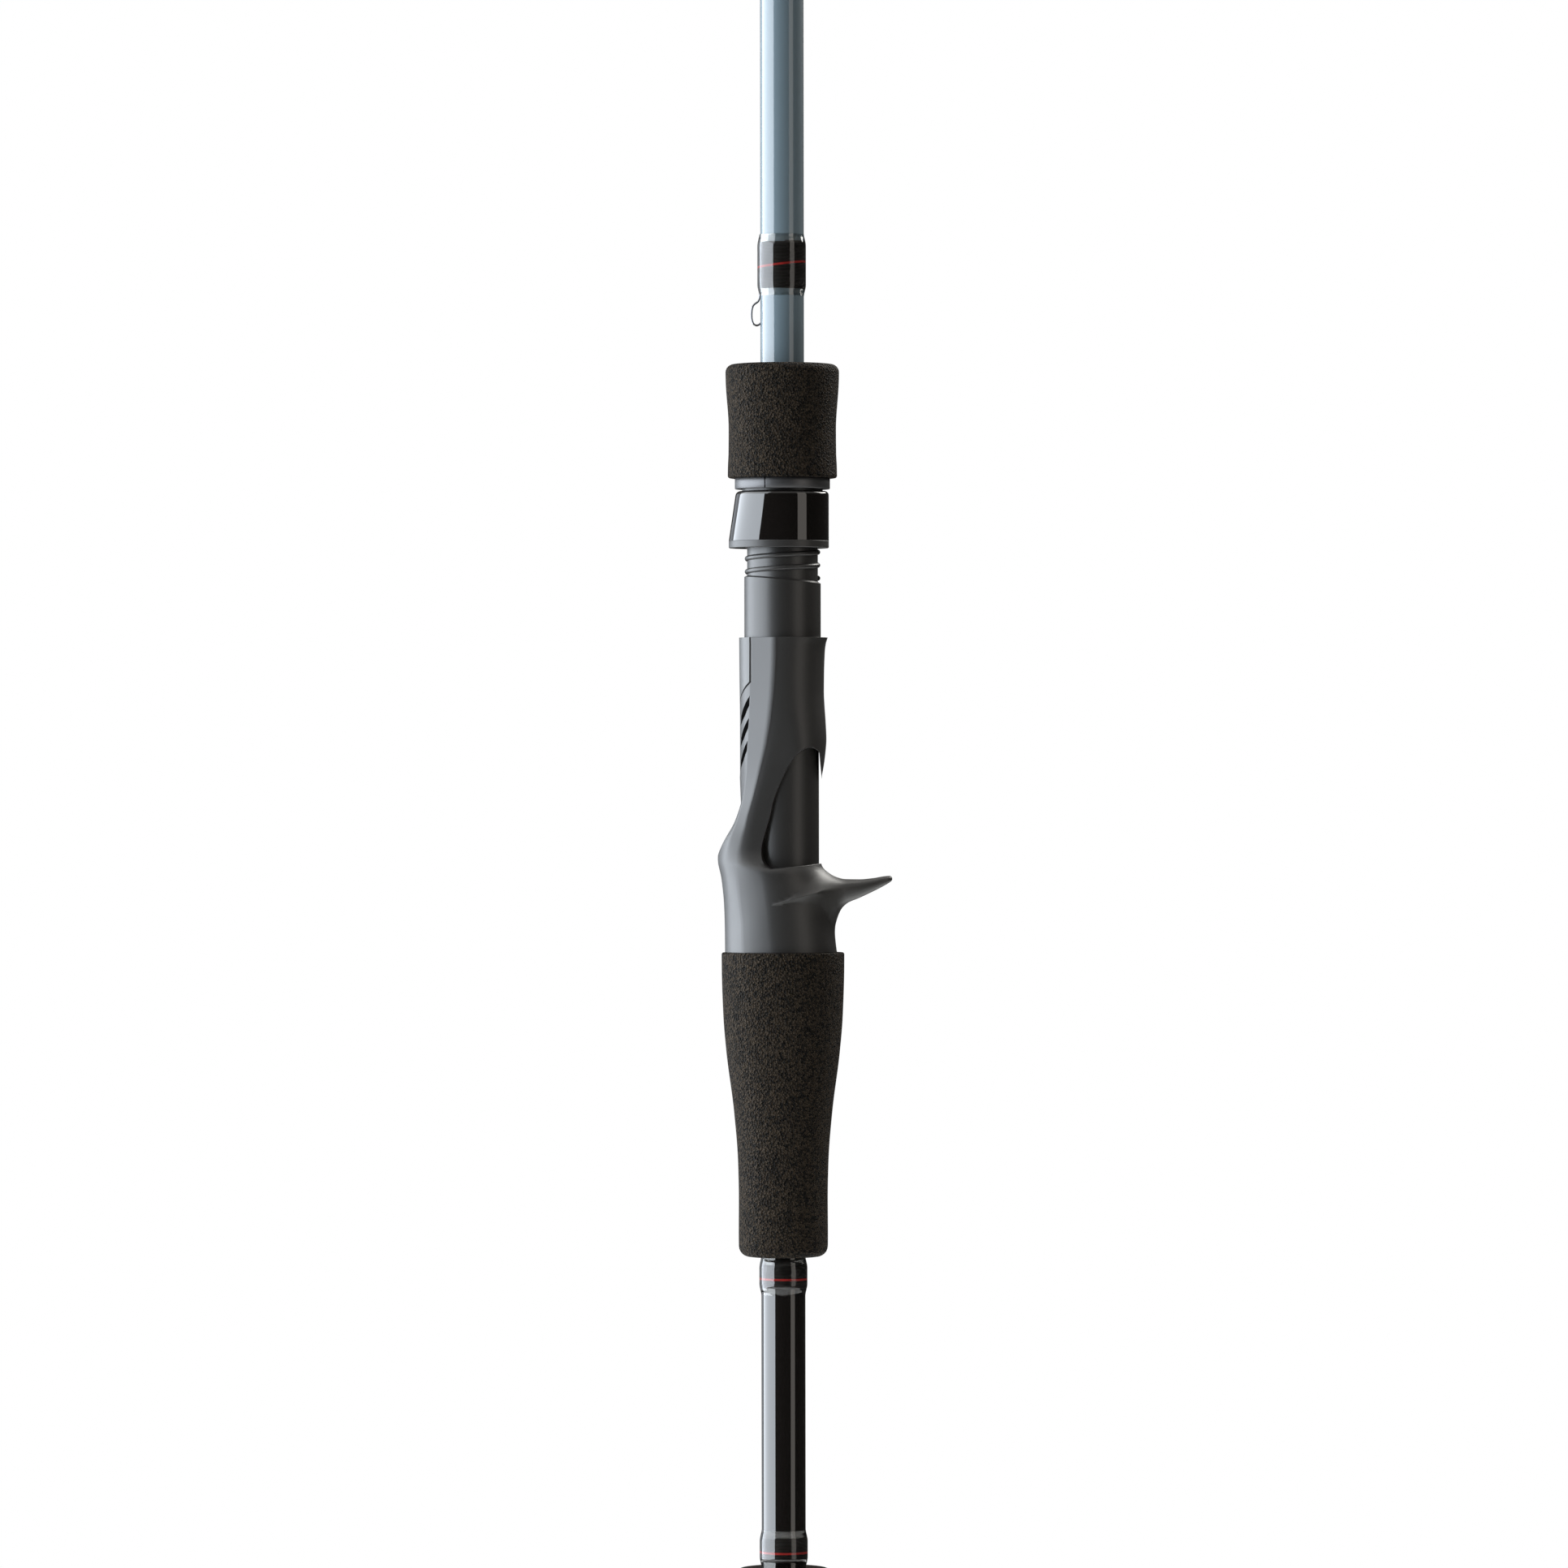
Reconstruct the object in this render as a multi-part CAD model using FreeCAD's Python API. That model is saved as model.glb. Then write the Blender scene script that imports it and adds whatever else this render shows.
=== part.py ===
import FreeCAD, Part
import math
import os
from FreeCAD import Vector

# Casting rod, standing on its butt: +Z runs along the rod to the tip, +X is the trigger side
# and -X is the side that carries the reel and the guides. All sizes are in millimetres.

# --- lengths along the rod, from the butt up -------------------------------------------------
CAP_HEIGHT = 9.0
BUTT_GRIP_LENGTH = 83.0
HANDLE_TUBE_SHOWN = 76.6     # between the butt grip and the rear grip
REAR_GRIP_LENGTH = 74.8
SEAT_LENGTH = 77.4
BARREL_SHOWN = 22.0          # between the seat and the moving hood, with the hood fully open
HOOD_HEIGHT = 14.0
NECK_SHOWN = 0.5
RING_HEIGHT = 2.7
FOREGRIP_LENGTH = 28.0
PARALLEL_LENGTH = 102.0      # blank above the foregrip before its taper starts
TAPER_LENGTH = 1332.0

BUTT_GRIP_TOP_Z = CAP_HEIGHT + BUTT_GRIP_LENGTH
REAR_GRIP_BOTTOM_Z = BUTT_GRIP_TOP_Z + HANDLE_TUBE_SHOWN
SEAT_BOTTOM_Z = REAR_GRIP_BOTTOM_Z + REAR_GRIP_LENGTH
SEAT_TOP_Z = SEAT_BOTTOM_Z + SEAT_LENGTH
HOOD_BOTTOM_Z = SEAT_TOP_Z + BARREL_SHOWN
HOOD_TOP_Z = HOOD_BOTTOM_Z + HOOD_HEIGHT
RING_BOTTOM_Z = HOOD_TOP_Z + NECK_SHOWN
FOREGRIP_BOTTOM_Z = RING_BOTTOM_Z + RING_HEIGHT
FOREGRIP_TOP_Z = FOREGRIP_BOTTOM_Z + FOREGRIP_LENGTH
TAPER_Z = FOREGRIP_TOP_Z + PARALLEL_LENGTH
TIP_Z = TAPER_Z + TAPER_LENGTH

# --- blank and handle tube -----------------------------------------------------------------
BLANK_R = 5.35
TIP_R = 0.95
BLANK_WALL = 1.2
TIP_WALL = 0.55
HANDLE_TUBE_R = BLANK_R + 0.05
HANDLE_TUBE_WALL = 1.25
SPLICE_RISE = 38.6           # from the seat's bottom to where blank and handle tube meet
SPIGOT_HALF = 20.0
SPIGOT_WALL = 1.4
SPLICE_Z = SEAT_BOTTOM_Z + SPLICE_RISE

# --- butt and grips ------------------------------------------------------------------------
BUTT_GRIP_R = 12.5
CAP_INSET = 0.1              # the cap stands this much inside the butt grip, to pass a rod holder
CAP_EDGE = 1.6
CAP_FLOOR = 4.0              # rubber below the end of the handle tube
CAP_PLUG_LENGTH = 9.0
GRIP_END_ROUND = 2.6
REAR_GRIP_PROUD = 1.8        # foam outside the seat's belly
REAR_GRIP_R_WAIST = 10.95
REAR_GRIP_TOP_ROUND = 0.5
FOREGRIP_BOTTOM_ROUND = 0.6
FOREGRIP_TOP_ROUND = 2.0
# outline of each grip from its bottom up: share of its length, share of its swell
REAR_GRIP_OUTLINE = [(0.0, 0.01), (0.20, 0.0), (0.37, 0.10), (0.55, 0.44), (0.775, 0.88), (1.0, 1.0)]
FOREGRIP_OUTLINE = [(0.0, 0.25), (0.33, 0.0), (0.64, 0.25), (1.0, 1.0)]

# --- fixed part of the reel seat -----------------------------------------------------------
MOVING_GAP = 0.25            # between pieces that slide or turn past each other
BARREL_R = 9.4
BARREL_TURNED_DOWN = 0.5     # step of the barrel under the window
BARREL_STEP_RISE = 52.6
BARREL_BOTTOM_RISE = 18.6
BARREL_WALL = 1.9
THREAD_BELOW_BARREL = 0.1
THREAD_DEPTH = 0.6
THREAD_PITCH = 3.2
THREAD_SHOWN = 7.4           # turns of thread left in sight below the open hood
THREAD_ROOT_WIDTH = 1.5
THREAD_CREST_WIDTH = 0.8
THREAD_SUNK = 0.15           # thread ridge sunk into the barrel, so that they are one solid
THREAD_RUN_OUT = 0.4
KEYWAY_WIDTH = 2.4
FOOT_SADDLE_RISE = 0.8       # floor of the rear hood's pocket above the barrel
FOOT_HALF_WIDTH = 6.2
FOOT_POCKET_FLOOR_RISE = 11.6
FOOT_POCKET_TOP_RISE = 27.6
REAR_HOOD_ROOF = 1.2         # thickness of the hood's roof over the pocket
SADDLE_WALL = 0.55           # seat wall left under the saddle strip and the slits
TONGUE_GAP = 0.25            # between the window's tongue and the barrel
BARREL_LOWER_R = BARREL_R - BARREL_TURNED_DOWN
BARREL_STEP_Z = SEAT_BOTTOM_Z + BARREL_STEP_RISE
BARREL_BOTTOM_Z = SEAT_BOTTOM_Z + BARREL_BOTTOM_RISE
BARREL_BORE_R = BARREL_R - BARREL_WALL
THREAD_CREST_R = BARREL_R - THREAD_BELOW_BARREL
THREAD_ROOT_R = THREAD_CREST_R - THREAD_DEPTH
THREAD_BOTTOM_Z = HOOD_BOTTOM_Z - THREAD_SHOWN
FOOT_SADDLE_R = BARREL_R + FOOT_SADDLE_RISE

# --- moving hood, lock nut and front grip --------------------------------------------------
HOOD_TRAVEL = 21.2
HOOD_LIP = 1.8               # satin lip of the liner below the gloss cover
HOOD_WALL = 1.7              # liner and cover together, outside the bore
HOOD_BULGE = 1.8             # how far the mouth stands out on the reel side
HOOD_COVER_WALL = 0.4
HOOD_COVER_ROUND = 0.36
HOOD_BORE_GAP = 0.3
HOOD_KEY_SUNK = 0.3          # root of the key inside the liner's wall
HOOD_POCKET_HALF = 6.4
HOOD_POCKET_DEPTH = 9.0
HOOD_POCKET_ROOF = 1.0
HOOD_CATCH = 1.0             # thickness of the liner's top lip, which holds the nut's flange
NUT_NECK_WALL = 0.3
NUT_FLANGE_RISE = 0.4        # flange outside the neck
NUT_FLANGE_HEIGHT = 2.0
NUT_GROOVE_WALL = 0.8        # nut wall under the retaining ring
NUT_SLEEVE_WALL = 1.4
NUT_SLEEVE_LENGTH = 11.0     # above the retaining ring
NUT_RIDGE_ROOT_WIDTH = 1.3
NUT_RIDGE_TIP_WIDTH = 0.7
NUT_THREAD_GAP = 0.3
NUT_THREAD_SUNK = 0.1
RING_WALL = 1.3
RING_SPLIT = 0.25
RING_SPLIT_ANGLE = 248.0
FOREGRIP_WALL = 2.2          # foam outside the nut at the grip's waist
FOREGRIP_FLARE = 0.8
FOREGRIP_LIP = 3.0
FOREGRIP_LIP_GAP = 0.55
HOOD_BORE_R = BARREL_R + HOOD_BORE_GAP
HOOD_R = HOOD_BORE_R + HOOD_WALL
NUT_BORE_R = THREAD_CREST_R + NUT_THREAD_GAP
NUT_RIDGE_TIP_R = THREAD_ROOT_R + NUT_THREAD_GAP
NUT_NECK_R = NUT_BORE_R + NUT_NECK_WALL
NUT_FLANGE_R = NUT_NECK_R + NUT_FLANGE_RISE
RING_GROOVE_R = NUT_BORE_R + NUT_GROOVE_WALL
NUT_SLEEVE_R = NUT_BORE_R + NUT_SLEEVE_WALL
NUT_SLEEVE_TOP_Z = FOREGRIP_BOTTOM_Z + NUT_SLEEVE_LENGTH
RING_R = RING_GROOVE_R + RING_WALL
FOREGRIP_R_WAIST = NUT_SLEEVE_R + FOREGRIP_WALL
BARREL_TOP_Z = FOREGRIP_TOP_Z - FOREGRIP_LIP - HOOD_TRAVEL - MOVING_GAP

# --- thread wrappings: gap to the grip, length, and the trim's place as a share of it --------
WRAP_THREAD = 0.3
WRAP_COAT = 0.25
WRAP_COAT_OVERHANG = 1.8
TRIM_WIDTH = 0.5
KEEPER_WRAP_RISE = 18.6      # above the foregrip
KEEPER_WRAP_LENGTH = 11.5
KEEPER_TRIM_RISE = 6.0
END_WRAP_LENGTH = 5.8
END_TRIM_DROP = 3.6          # below the wrapping's upper end

# --- hook keeper ---------------------------------------------------------------------------
KEEPER_WIRE_R = 0.25
KEEPER_LOOP_RISE = 12.4      # middle of the loop above the foregrip
KEEPER_ROOT_SHARE = 0.6      # share of the wire's radius that stands clear of the blank at its root
KEEPER_FOOT_START = 0.3      # foot begins this much below the loop's top
# course of the loop, from its root round to its root: reach from the blank, height from its middle
KEEPER_COURSE = [(0.0, -2.45), (0.9, -3.05), (1.8, -2.65), (2.2, -1.55), (2.2, 1.65), (1.6, 2.75),
                 (0.0, 3.05)]
KEEPER_FOOT_WIDTH = 0.9
KEEPER_FOOT_COVER = 2.0      # thread wound beyond the end of the foot
KEEPER_LOOP_Z = FOREGRIP_TOP_Z + KEEPER_LOOP_RISE
KEEPER_WRAP_Z = FOREGRIP_TOP_Z + KEEPER_WRAP_RISE
KEEPER_FOOT_TOP_Z = KEEPER_WRAP_Z + KEEPER_WRAP_LENGTH - KEEPER_FOOT_COVER

# --- line guides: distance below the tip, ceramic bore and outside, clear height, feet --------
GUIDES = [
    (992.0, 8.6, 11.6, 7.5, 2),
    (777.0, 6.9, 9.4, 5.5, 2),
    (602.0, 5.2, 7.6, 4.2, 1),
    (447.0, 4.6, 6.8, 3.6, 1),
    (312.0, 4.0, 6.0, 3.2, 1),
    (192.0, 3.6, 5.4, 3.0, 1),
    (87.0, 3.6, 5.4, 2.8, 1),
]
GUIDE_PLATE = 1.5
RING_PROUD = 0.25            # how far a ceramic ring stands out of its holder on each side
GUIDE_RIM = 0.8
GUIDE_WIRE_R = 0.55
BALL_FULLNESS = 1.06         # ball at a wire's bend, against the wire's own radius
FOOT_WIDTH = 2.0
FOOT_THICK = 0.7
FOOT_LENGTH = 9.0
FOOT_REACH = 1.1             # leg spread along the rod as a share of the ring's height
GUIDE_WRAP_OVER = 2.5        # wrapping beyond the foot's toe
GUIDE_WRAP_HEEL = 1.4        # foot left bare at its heel
WRAP_END_EDGE = 0.1          # thickness left at a bevelled end of a wrapping
GUIDE_ELBOW_SHARE = 0.25     # where a leg bends, as a share of its height and spread
FOOT_HEEL_SUNK = 0.6         # legs end this far inside the foot
RING_BORE_EDGE = 0.3         # flat left between a ceramic ring's rounded bore and its outside
TIP_TUBE_WALL = 0.4
TIP_TUBE_LENGTH = 11.0
TIP_RING_ID = 3.2
TIP_RING_OD = 5.0
TIP_RING_RISE = 6.5
TIP_WRAP_LENGTH = 5.0
TIP_TUBE_BEYOND = 0.8        # tube beyond the end of the blank
TIP_RING_INSET = 0.5         # the ring's frame reaches this far over the rod's axis
TIP_STRUT_DROP = 5.0         # start of the ring's side struts below the tip
TIP_STRUT_SUNK = 0.2
TIP_STRUT_SPREAD = 0.3
TIP_SHOULDER_BACK = 0.6
TIP_SHOULDER_SHARE = 0.97

AXIS = Vector(0, 0, 1)
ORIGIN = Vector(0, 0, 0)


def cylinder(radius, z_low, z_high):
    return Part.makeCylinder(radius, z_high - z_low, Vector(0, 0, z_low))


def tube(r_out, r_in, z_low, z_high):
    return cylinder(r_out, z_low, z_high).cut(cylinder(r_in, z_low, z_high))


def wire_from(*pieces):
    return Part.Wire([piece.toShape() if hasattr(piece, "toShape") else piece for piece in pieces])


def line(a, b):
    return Part.LineSegment(a, b)


def turned(points):
    """Solid of revolution about the rod's axis from (radius, z) corners."""
    corners = [Vector(r, 0, z) for r, z in points]
    face = Part.Face(Part.makePolygon(corners + corners[:1]))
    return face.revolve(ORIGIN, AXIS, 360)


def turned_curve(outline, r_in, round_low, round_high):
    """Grip: a smooth outline of (radius, z) points from the bottom up, with rounded ends and a bore."""
    (r_low, z_low), (r_high, z_high) = outline[0], outline[-1]
    spline = Part.BSplineCurve()
    low = Vector(r_low, 0, z_low + round_low)
    high = Vector(r_high, 0, z_high - round_high)
    middle = [Vector(r, 0, z) for r, z in outline[1:-1]]
    spline.interpolate([low] + middle + [high])
    bend = math.sqrt(0.5)
    low_arc = Part.Arc(Vector(r_low - round_low, 0, z_low),
                       Vector(r_low - round_low * (1 - bend), 0, z_low + round_low * (1 - bend)), low)
    high_middle = Vector(r_high - round_high * (1 - bend), 0, z_high - round_high * (1 - bend))
    high_arc = Part.Arc(high, high_middle,
                        Vector(r_high - round_high, 0, z_high))
    bottom_in = Vector(r_in, 0, z_low)
    top_in = Vector(r_in, 0, z_high)
    edges = [line(bottom_in, Vector(r_low - round_low, 0, z_low)), low_arc, spline, high_arc,
             line(Vector(r_high - round_high, 0, z_high), top_in), line(top_in, bottom_in)]
    return Part.Face(wire_from(*edges)).revolve(ORIGIN, AXIS, 360)


def prism(corners, direction):
    """Extruded polygon."""
    return Part.Face(Part.makePolygon(corners + corners[:1])).extrude(direction)


def strut(start, end, radius):
    """Round rod between two points, with slightly fuller ball ends so that struts join cleanly."""
    run = end - start
    rod = Part.makeCylinder(radius, run.Length, start, run)
    ball_r = radius * BALL_FULLNESS
    return rod.fuse([Part.makeSphere(ball_r, start), Part.makeSphere(ball_r, end)])


def blank_radius(z):
    share = max(0.0, (z - TAPER_Z) / (TIP_Z - TAPER_Z))
    return BLANK_R + (TIP_R - BLANK_R) * share


def blank_outer():
    return turned([(0, SPLICE_Z), (BLANK_R, SPLICE_Z), (BLANK_R, TAPER_Z), (TIP_R, TIP_Z), (0, TIP_Z)])


def blank():
    bore_low = BLANK_R - BLANK_WALL
    return turned([(bore_low, SPLICE_Z), (BLANK_R, SPLICE_Z), (BLANK_R, TAPER_Z), (TIP_R, TIP_Z),
                   (TIP_R - TIP_WALL, TIP_Z), (bore_low, TAPER_Z)])


def handle_tube():
    return tube(HANDLE_TUBE_R, HANDLE_TUBE_R - HANDLE_TUBE_WALL, CAP_FLOOR, SPLICE_Z)


def splice_spigot():
    lower_r = HANDLE_TUBE_R - HANDLE_TUBE_WALL
    upper_r = BLANK_R - BLANK_WALL
    bore = min(lower_r, upper_r) - SPIGOT_WALL
    lower = tube(lower_r, bore, SPLICE_Z - SPIGOT_HALF, SPLICE_Z)
    return lower.fuse(tube(upper_r, bore, SPLICE_Z, SPLICE_Z + SPIGOT_HALF)).removeSplitter()


def butt_cap():
    bore = HANDLE_TUBE_R - HANDLE_TUBE_WALL
    radius = BUTT_GRIP_R - CAP_INSET
    cup = turned([(0, 0), (radius - CAP_EDGE, 0), (radius, CAP_EDGE), (radius, CAP_HEIGHT - CAP_EDGE / 2),
                  (radius - CAP_EDGE / 2, CAP_HEIGHT), (0, CAP_HEIGHT)])
    sleeve = tube(HANDLE_TUBE_R, bore, CAP_FLOOR, CAP_HEIGHT)
    return cup.cut(sleeve).fuse(cylinder(bore, CAP_HEIGHT, CAP_HEIGHT + CAP_PLUG_LENGTH)).removeSplitter()


def butt_grip():
    body = tube(BUTT_GRIP_R, HANDLE_TUBE_R, CAP_HEIGHT, BUTT_GRIP_TOP_Z)
    middle_z = 0.5 * (CAP_HEIGHT + BUTT_GRIP_TOP_Z)
    rims = [edge for edge in body.Edges
            if edge.BoundBox.ZMin > middle_z and edge.BoundBox.XMax > HANDLE_TUBE_R + GRIP_END_ROUND]
    return body.makeFillet(GRIP_END_ROUND, rims)


def rear_grip():
    """Palm swell under the seat, running down to a slimmer waist."""
    swell = SEAT_FORM[0][1] + seat_growth() + REAR_GRIP_PROUD - REAR_GRIP_R_WAIST
    outline = [(REAR_GRIP_R_WAIST + swell * s, REAR_GRIP_BOTTOM_Z + REAR_GRIP_LENGTH * t)
               for t, s in REAR_GRIP_OUTLINE]
    return turned_curve(outline, HANDLE_TUBE_R, GRIP_END_ROUND, REAR_GRIP_TOP_ROUND)


def foregrip():
    """Foam sleeve glued on the lock nut, so that it is the handle that turns the nut."""
    outline = [(FOREGRIP_R_WAIST + FOREGRIP_FLARE * s, FOREGRIP_BOTTOM_Z + FOREGRIP_LENGTH * t)
               for t, s in FOREGRIP_OUTLINE]
    body = turned_curve(outline, BLANK_R + FOREGRIP_LIP_GAP, FOREGRIP_BOTTOM_ROUND, FOREGRIP_TOP_ROUND)
    chamber = cylinder(NUT_BORE_R, NUT_SLEEVE_TOP_Z, FOREGRIP_TOP_Z - FOREGRIP_LIP)
    return body.cut(cylinder(NUT_SLEEVE_R, FOREGRIP_BOTTOM_Z, NUT_SLEEVE_TOP_Z)).cut(chamber)


def helical_ridge(r_root, r_tip, root_width, tip_width, z_low, z_high):
    """Right-hand screw ridge of trapezium section."""
    spine = Part.Wire(Part.makeHelix(THREAD_PITCH, z_high - z_low, r_root).Edges)
    half_root = root_width / 2
    half_tip = tip_width / 2
    corners = [Vector(r_root, 0, -half_root), Vector(r_tip, 0, -half_tip), Vector(r_tip, 0, half_tip),
               Vector(r_root, 0, half_root)]
    profile = Part.makePolygon(corners + corners[:1])
    ridge = spine.makePipeShell([profile], True, True)
    ridge.translate(Vector(0, 0, z_low))
    return ridge


def seat_barrel():
    """Inner pipe of the reel seat, threaded at its front end, with a keyway for the moving hood."""
    core = turned([(BARREL_BORE_R, BARREL_BOTTOM_Z), (BARREL_LOWER_R, BARREL_BOTTOM_Z),
                   (BARREL_LOWER_R, BARREL_STEP_Z), (BARREL_R, BARREL_STEP_Z), (BARREL_R, THREAD_BOTTOM_Z),
                   (THREAD_ROOT_R, THREAD_BOTTOM_Z + THREAD_RUN_OUT), (THREAD_ROOT_R, BARREL_TOP_Z),
                   (BARREL_BORE_R, BARREL_TOP_Z)])
    ridge = helical_ridge(THREAD_ROOT_R - THREAD_SUNK, THREAD_CREST_R, THREAD_ROOT_WIDTH, THREAD_CREST_WIDTH,
                          THREAD_BOTTOM_Z, BARREL_TOP_Z - THREAD_ROOT_WIDTH / 2)
    threaded = core.fuse(ridge)
    keyway = Part.makeBox(KEYWAY_WIDTH, BARREL_R, BARREL_TOP_Z - SEAT_TOP_Z,
                          Vector(-KEYWAY_WIDTH / 2, THREAD_ROOT_R, SEAT_TOP_Z))
    return threaded.cut(keyway)


def arbor(r_in, z_low, z_high):
    """Bush that centres the blank or the handle tube in the seat."""
    return tube(BARREL_BORE_R, r_in, z_low, z_high)


# Form of the seat: height above its bottom, reach of the belly, crease (x, y), saddle edge (x, y) and
# reach of the saddle, drawn round a barrel of SEAT_FORM_BARREL_R.
SEAT_FORM_BARREL_R = 9.4
SEAT_FORM = [
    (0.0, 13.3, (-7.3, 13.2), (-11.6, 8.2), 14.25),
    (6.0, 12.8, (-7.5, 13.1), (-11.6, 8.2), 14.3),
    (12.0, 12.4, (-8.5, 12.8), (-12.2, 7.8), 14.5),
    (18.0, 10.9, (-9.5, 12.3), (-13.0, 7.6), 15.1),
    (23.0, 10.1, (-9.9, 11.6), (-13.8, 7.4), 16.0),
    (27.0, 9.9, (-9.7, 11.2), (-13.2, 7.6), 15.5),
    (32.5, 9.8, (-8.7, 10.9), (-11.2, 7.8), 12.8),
    (38.5, 9.8, (-7.1, 10.7), (-9.6, 7.5), 11.0),
    (45.0, 9.7, (-5.4, 10.6), (-8.9, 7.0), 10.5),
    (51.0, 10.3, (-3.9, 10.6), (-8.6, 6.9), 10.5),
    (57.0, 10.3, (-2.9, 10.6), (-8.3, 7.0), 10.6),
    (66.0, 10.0, (-1.9, 10.6), (-8.0, 7.2), 10.7),
    (75.0, 10.1, (-1.5, 10.6), (-7.8, 7.4), 10.7),
    (77.4, 10.8, (-1.5, 10.7), (-7.7, 7.5), 10.7),
]


# Finger trigger: reach, height above the seat's bottom, half height and half width of its sections.
TRIGGER_FORM = [
    (5.0, 15.2, 6.8, 11.0), (8.6, 15.5, 6.2, 10.0), (11.0, 14.5, 5.1, 8.4), (13.9, 14.4, 3.8, 6.6),
    (17.3, 15.2, 2.7, 5.2), (20.5, 16.1, 1.95, 4.3), (23.9, 17.2, 1.35, 3.5), (26.2, 17.9, 0.9, 2.6),
    (26.9, 18.1, 0.5, 1.9),
]
# Window: its curved edge (x, height) and its straight bottom; tongue left standing in it (y, height).
WINDOW_EDGE = [(7.1, 51.4), (2.9, 48.0), (0.1, 43.2), (-2.4, 36.8), (-4.0, 30.6), (-5.2, 24.4),
               (-4.6, 21.9), (-2.7, 20.7)]
WINDOW_BOTTOM_RISE = 21.4
TONGUE = [(-4.2, 53.6), (-3.2, 46.6), (0.0, 41.9), (3.2, 46.6), (4.2, 53.6)]
# Open mouth behind the reel's foot (y, height).
MOUTH = [(-9.0, 45.0), (-7.6, 33.6), (-5.0, 27.1), (0.0, 23.6), (5.0, 27.1), (7.6, 33.6), (9.0, 45.0)]
# Saddle strip: half width, height where its sides end, height of its point, and its depth as a share
# of the barrel.
STRIP_HALF_WIDTH = 7.4
STRIP_SIDE_RISE = 66.2
STRIP_POINT_RISE = 60.6
STRIP_DEPTH_SHARE = 0.75
# Slits: corners (y, drop) of the first one, where each starts, and how deep they may go.
SLIT_CORNERS = [(6.8, 0.0), (6.3, -2.0), (3.2, -6.4), (3.6, -4.4)]
SLIT_RISES = [63.0, 57.6, 52.2]
SLIT_DEPTH_SHARE = 0.64
TOOL_REACH = 30.0            # cutting tools reach this far, well beyond the seat


def seat_growth():
    """How much wider than drawn the seat is, so that its wall keeps its thickness round the barrel."""
    return BARREL_R - SEAT_FORM_BARREL_R


def seat_z(rise):
    """Height in the rod of a place drawn on the seat; the form stretches with the seat's length."""
    return SEAT_BOTTOM_Z + rise * SEAT_LENGTH / SEAT_FORM[-1][0]


def seat_section(z, belly_reach, crease, edge, saddle_reach):
    """Outline of the seat: round belly, two flat flanks and a rounded saddle on the reel side."""
    grow = seat_growth()
    corner = math.sqrt(0.5) * grow
    crease_x, crease_y = crease[0], crease[1] + grow
    edge_x, edge_y = edge[0] - corner, edge[1] + corner
    belly = Part.Arc(Vector(crease_x, -crease_y, z), Vector(belly_reach + grow, 0, z),
                     Vector(crease_x, crease_y, z))
    saddle = Part.Arc(Vector(edge_x, edge_y, z), Vector(-saddle_reach - grow, 0, z),
                      Vector(edge_x, -edge_y, z))
    upper = line(Vector(crease_x, crease_y, z), Vector(edge_x, edge_y, z))
    lower = line(Vector(edge_x, -edge_y, z), Vector(crease_x, -crease_y, z))
    return wire_from(belly, upper, saddle, lower)


def seat_outer():
    """The seat's outer form, from the grip up to the front lip."""
    wires = [seat_section(seat_z(rise), *form) for rise, *form in SEAT_FORM]
    return Part.makeLoft(wires, True, False)


def trigger():
    """Finger trigger: lens sections (reach, rise, half height, half width) that shrink to the tip."""
    wires = []
    for reach, rise, half_height, half_width in TRIGGER_FORM:
        x = reach + seat_growth()
        ring = Part.BSplineCurve()
        turns = [math.radians(45 * k) for k in range(8)]
        middle_z = seat_z(rise)
        points = [Vector(x, half_width * math.cos(a), middle_z + half_height * math.sin(a)) for a in turns]
        ring.interpolate(points, PeriodicFlag=True)
        wires.append(Part.Wire(ring.toShape()))
    return Part.makeLoft(wires, True, False)


def window_tool():
    """Opening on the trigger side of the seat that bares the barrel, with the tongue left standing."""
    grow = seat_growth()
    side = TOOL_REACH + grow
    points = [Vector(x + grow * (x > 0), -side, seat_z(rise)) for x, rise in WINDOW_EDGE]
    spline = Part.BSplineCurve()
    spline.interpolate(points)
    far_low = Vector(side, -side, seat_z(WINDOW_BOTTOM_RISE))
    far_high = Vector(side, -side, points[0].z)
    outline = wire_from(spline, line(points[-1], far_low), line(far_low, far_high),
                        line(far_high, points[0]))
    opening = Part.Face(outline).extrude(Vector(0, 2 * side, 0))
    inner = BARREL_LOWER_R + TONGUE_GAP
    tongue = [Vector(inner, y, seat_z(rise)) for y, rise in TONGUE]
    return opening.cut(prism(tongue, Vector(side, 0, 0)))


def foot_pocket():
    """Room for the back of a reel's foot: an open horseshoe mouth and a pocket under the hood's roof."""
    side = TOOL_REACH + seat_growth()
    open_part = prism([Vector(-side, y, seat_z(rise)) for y, rise in MOUTH], Vector(side, 0, 0))
    below_roof = seat_outer()
    below_roof.translate(Vector(REAR_HOOD_ROOF, 0, 0))
    floor_z = seat_z(FOOT_POCKET_FLOOR_RISE)
    top_z = seat_z(FOOT_POCKET_TOP_RISE)
    corner = Vector(-side, -FOOT_HALF_WIDTH, floor_z)
    room = Part.makeBox(side, 2 * FOOT_HALF_WIDTH, top_z - floor_z, corner)
    covered = below_roof.common(room)
    return open_part.fuse(covered).cut(cylinder(FOOT_SADDLE_R, SEAT_BOTTOM_Z, SEAT_TOP_Z))


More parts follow.
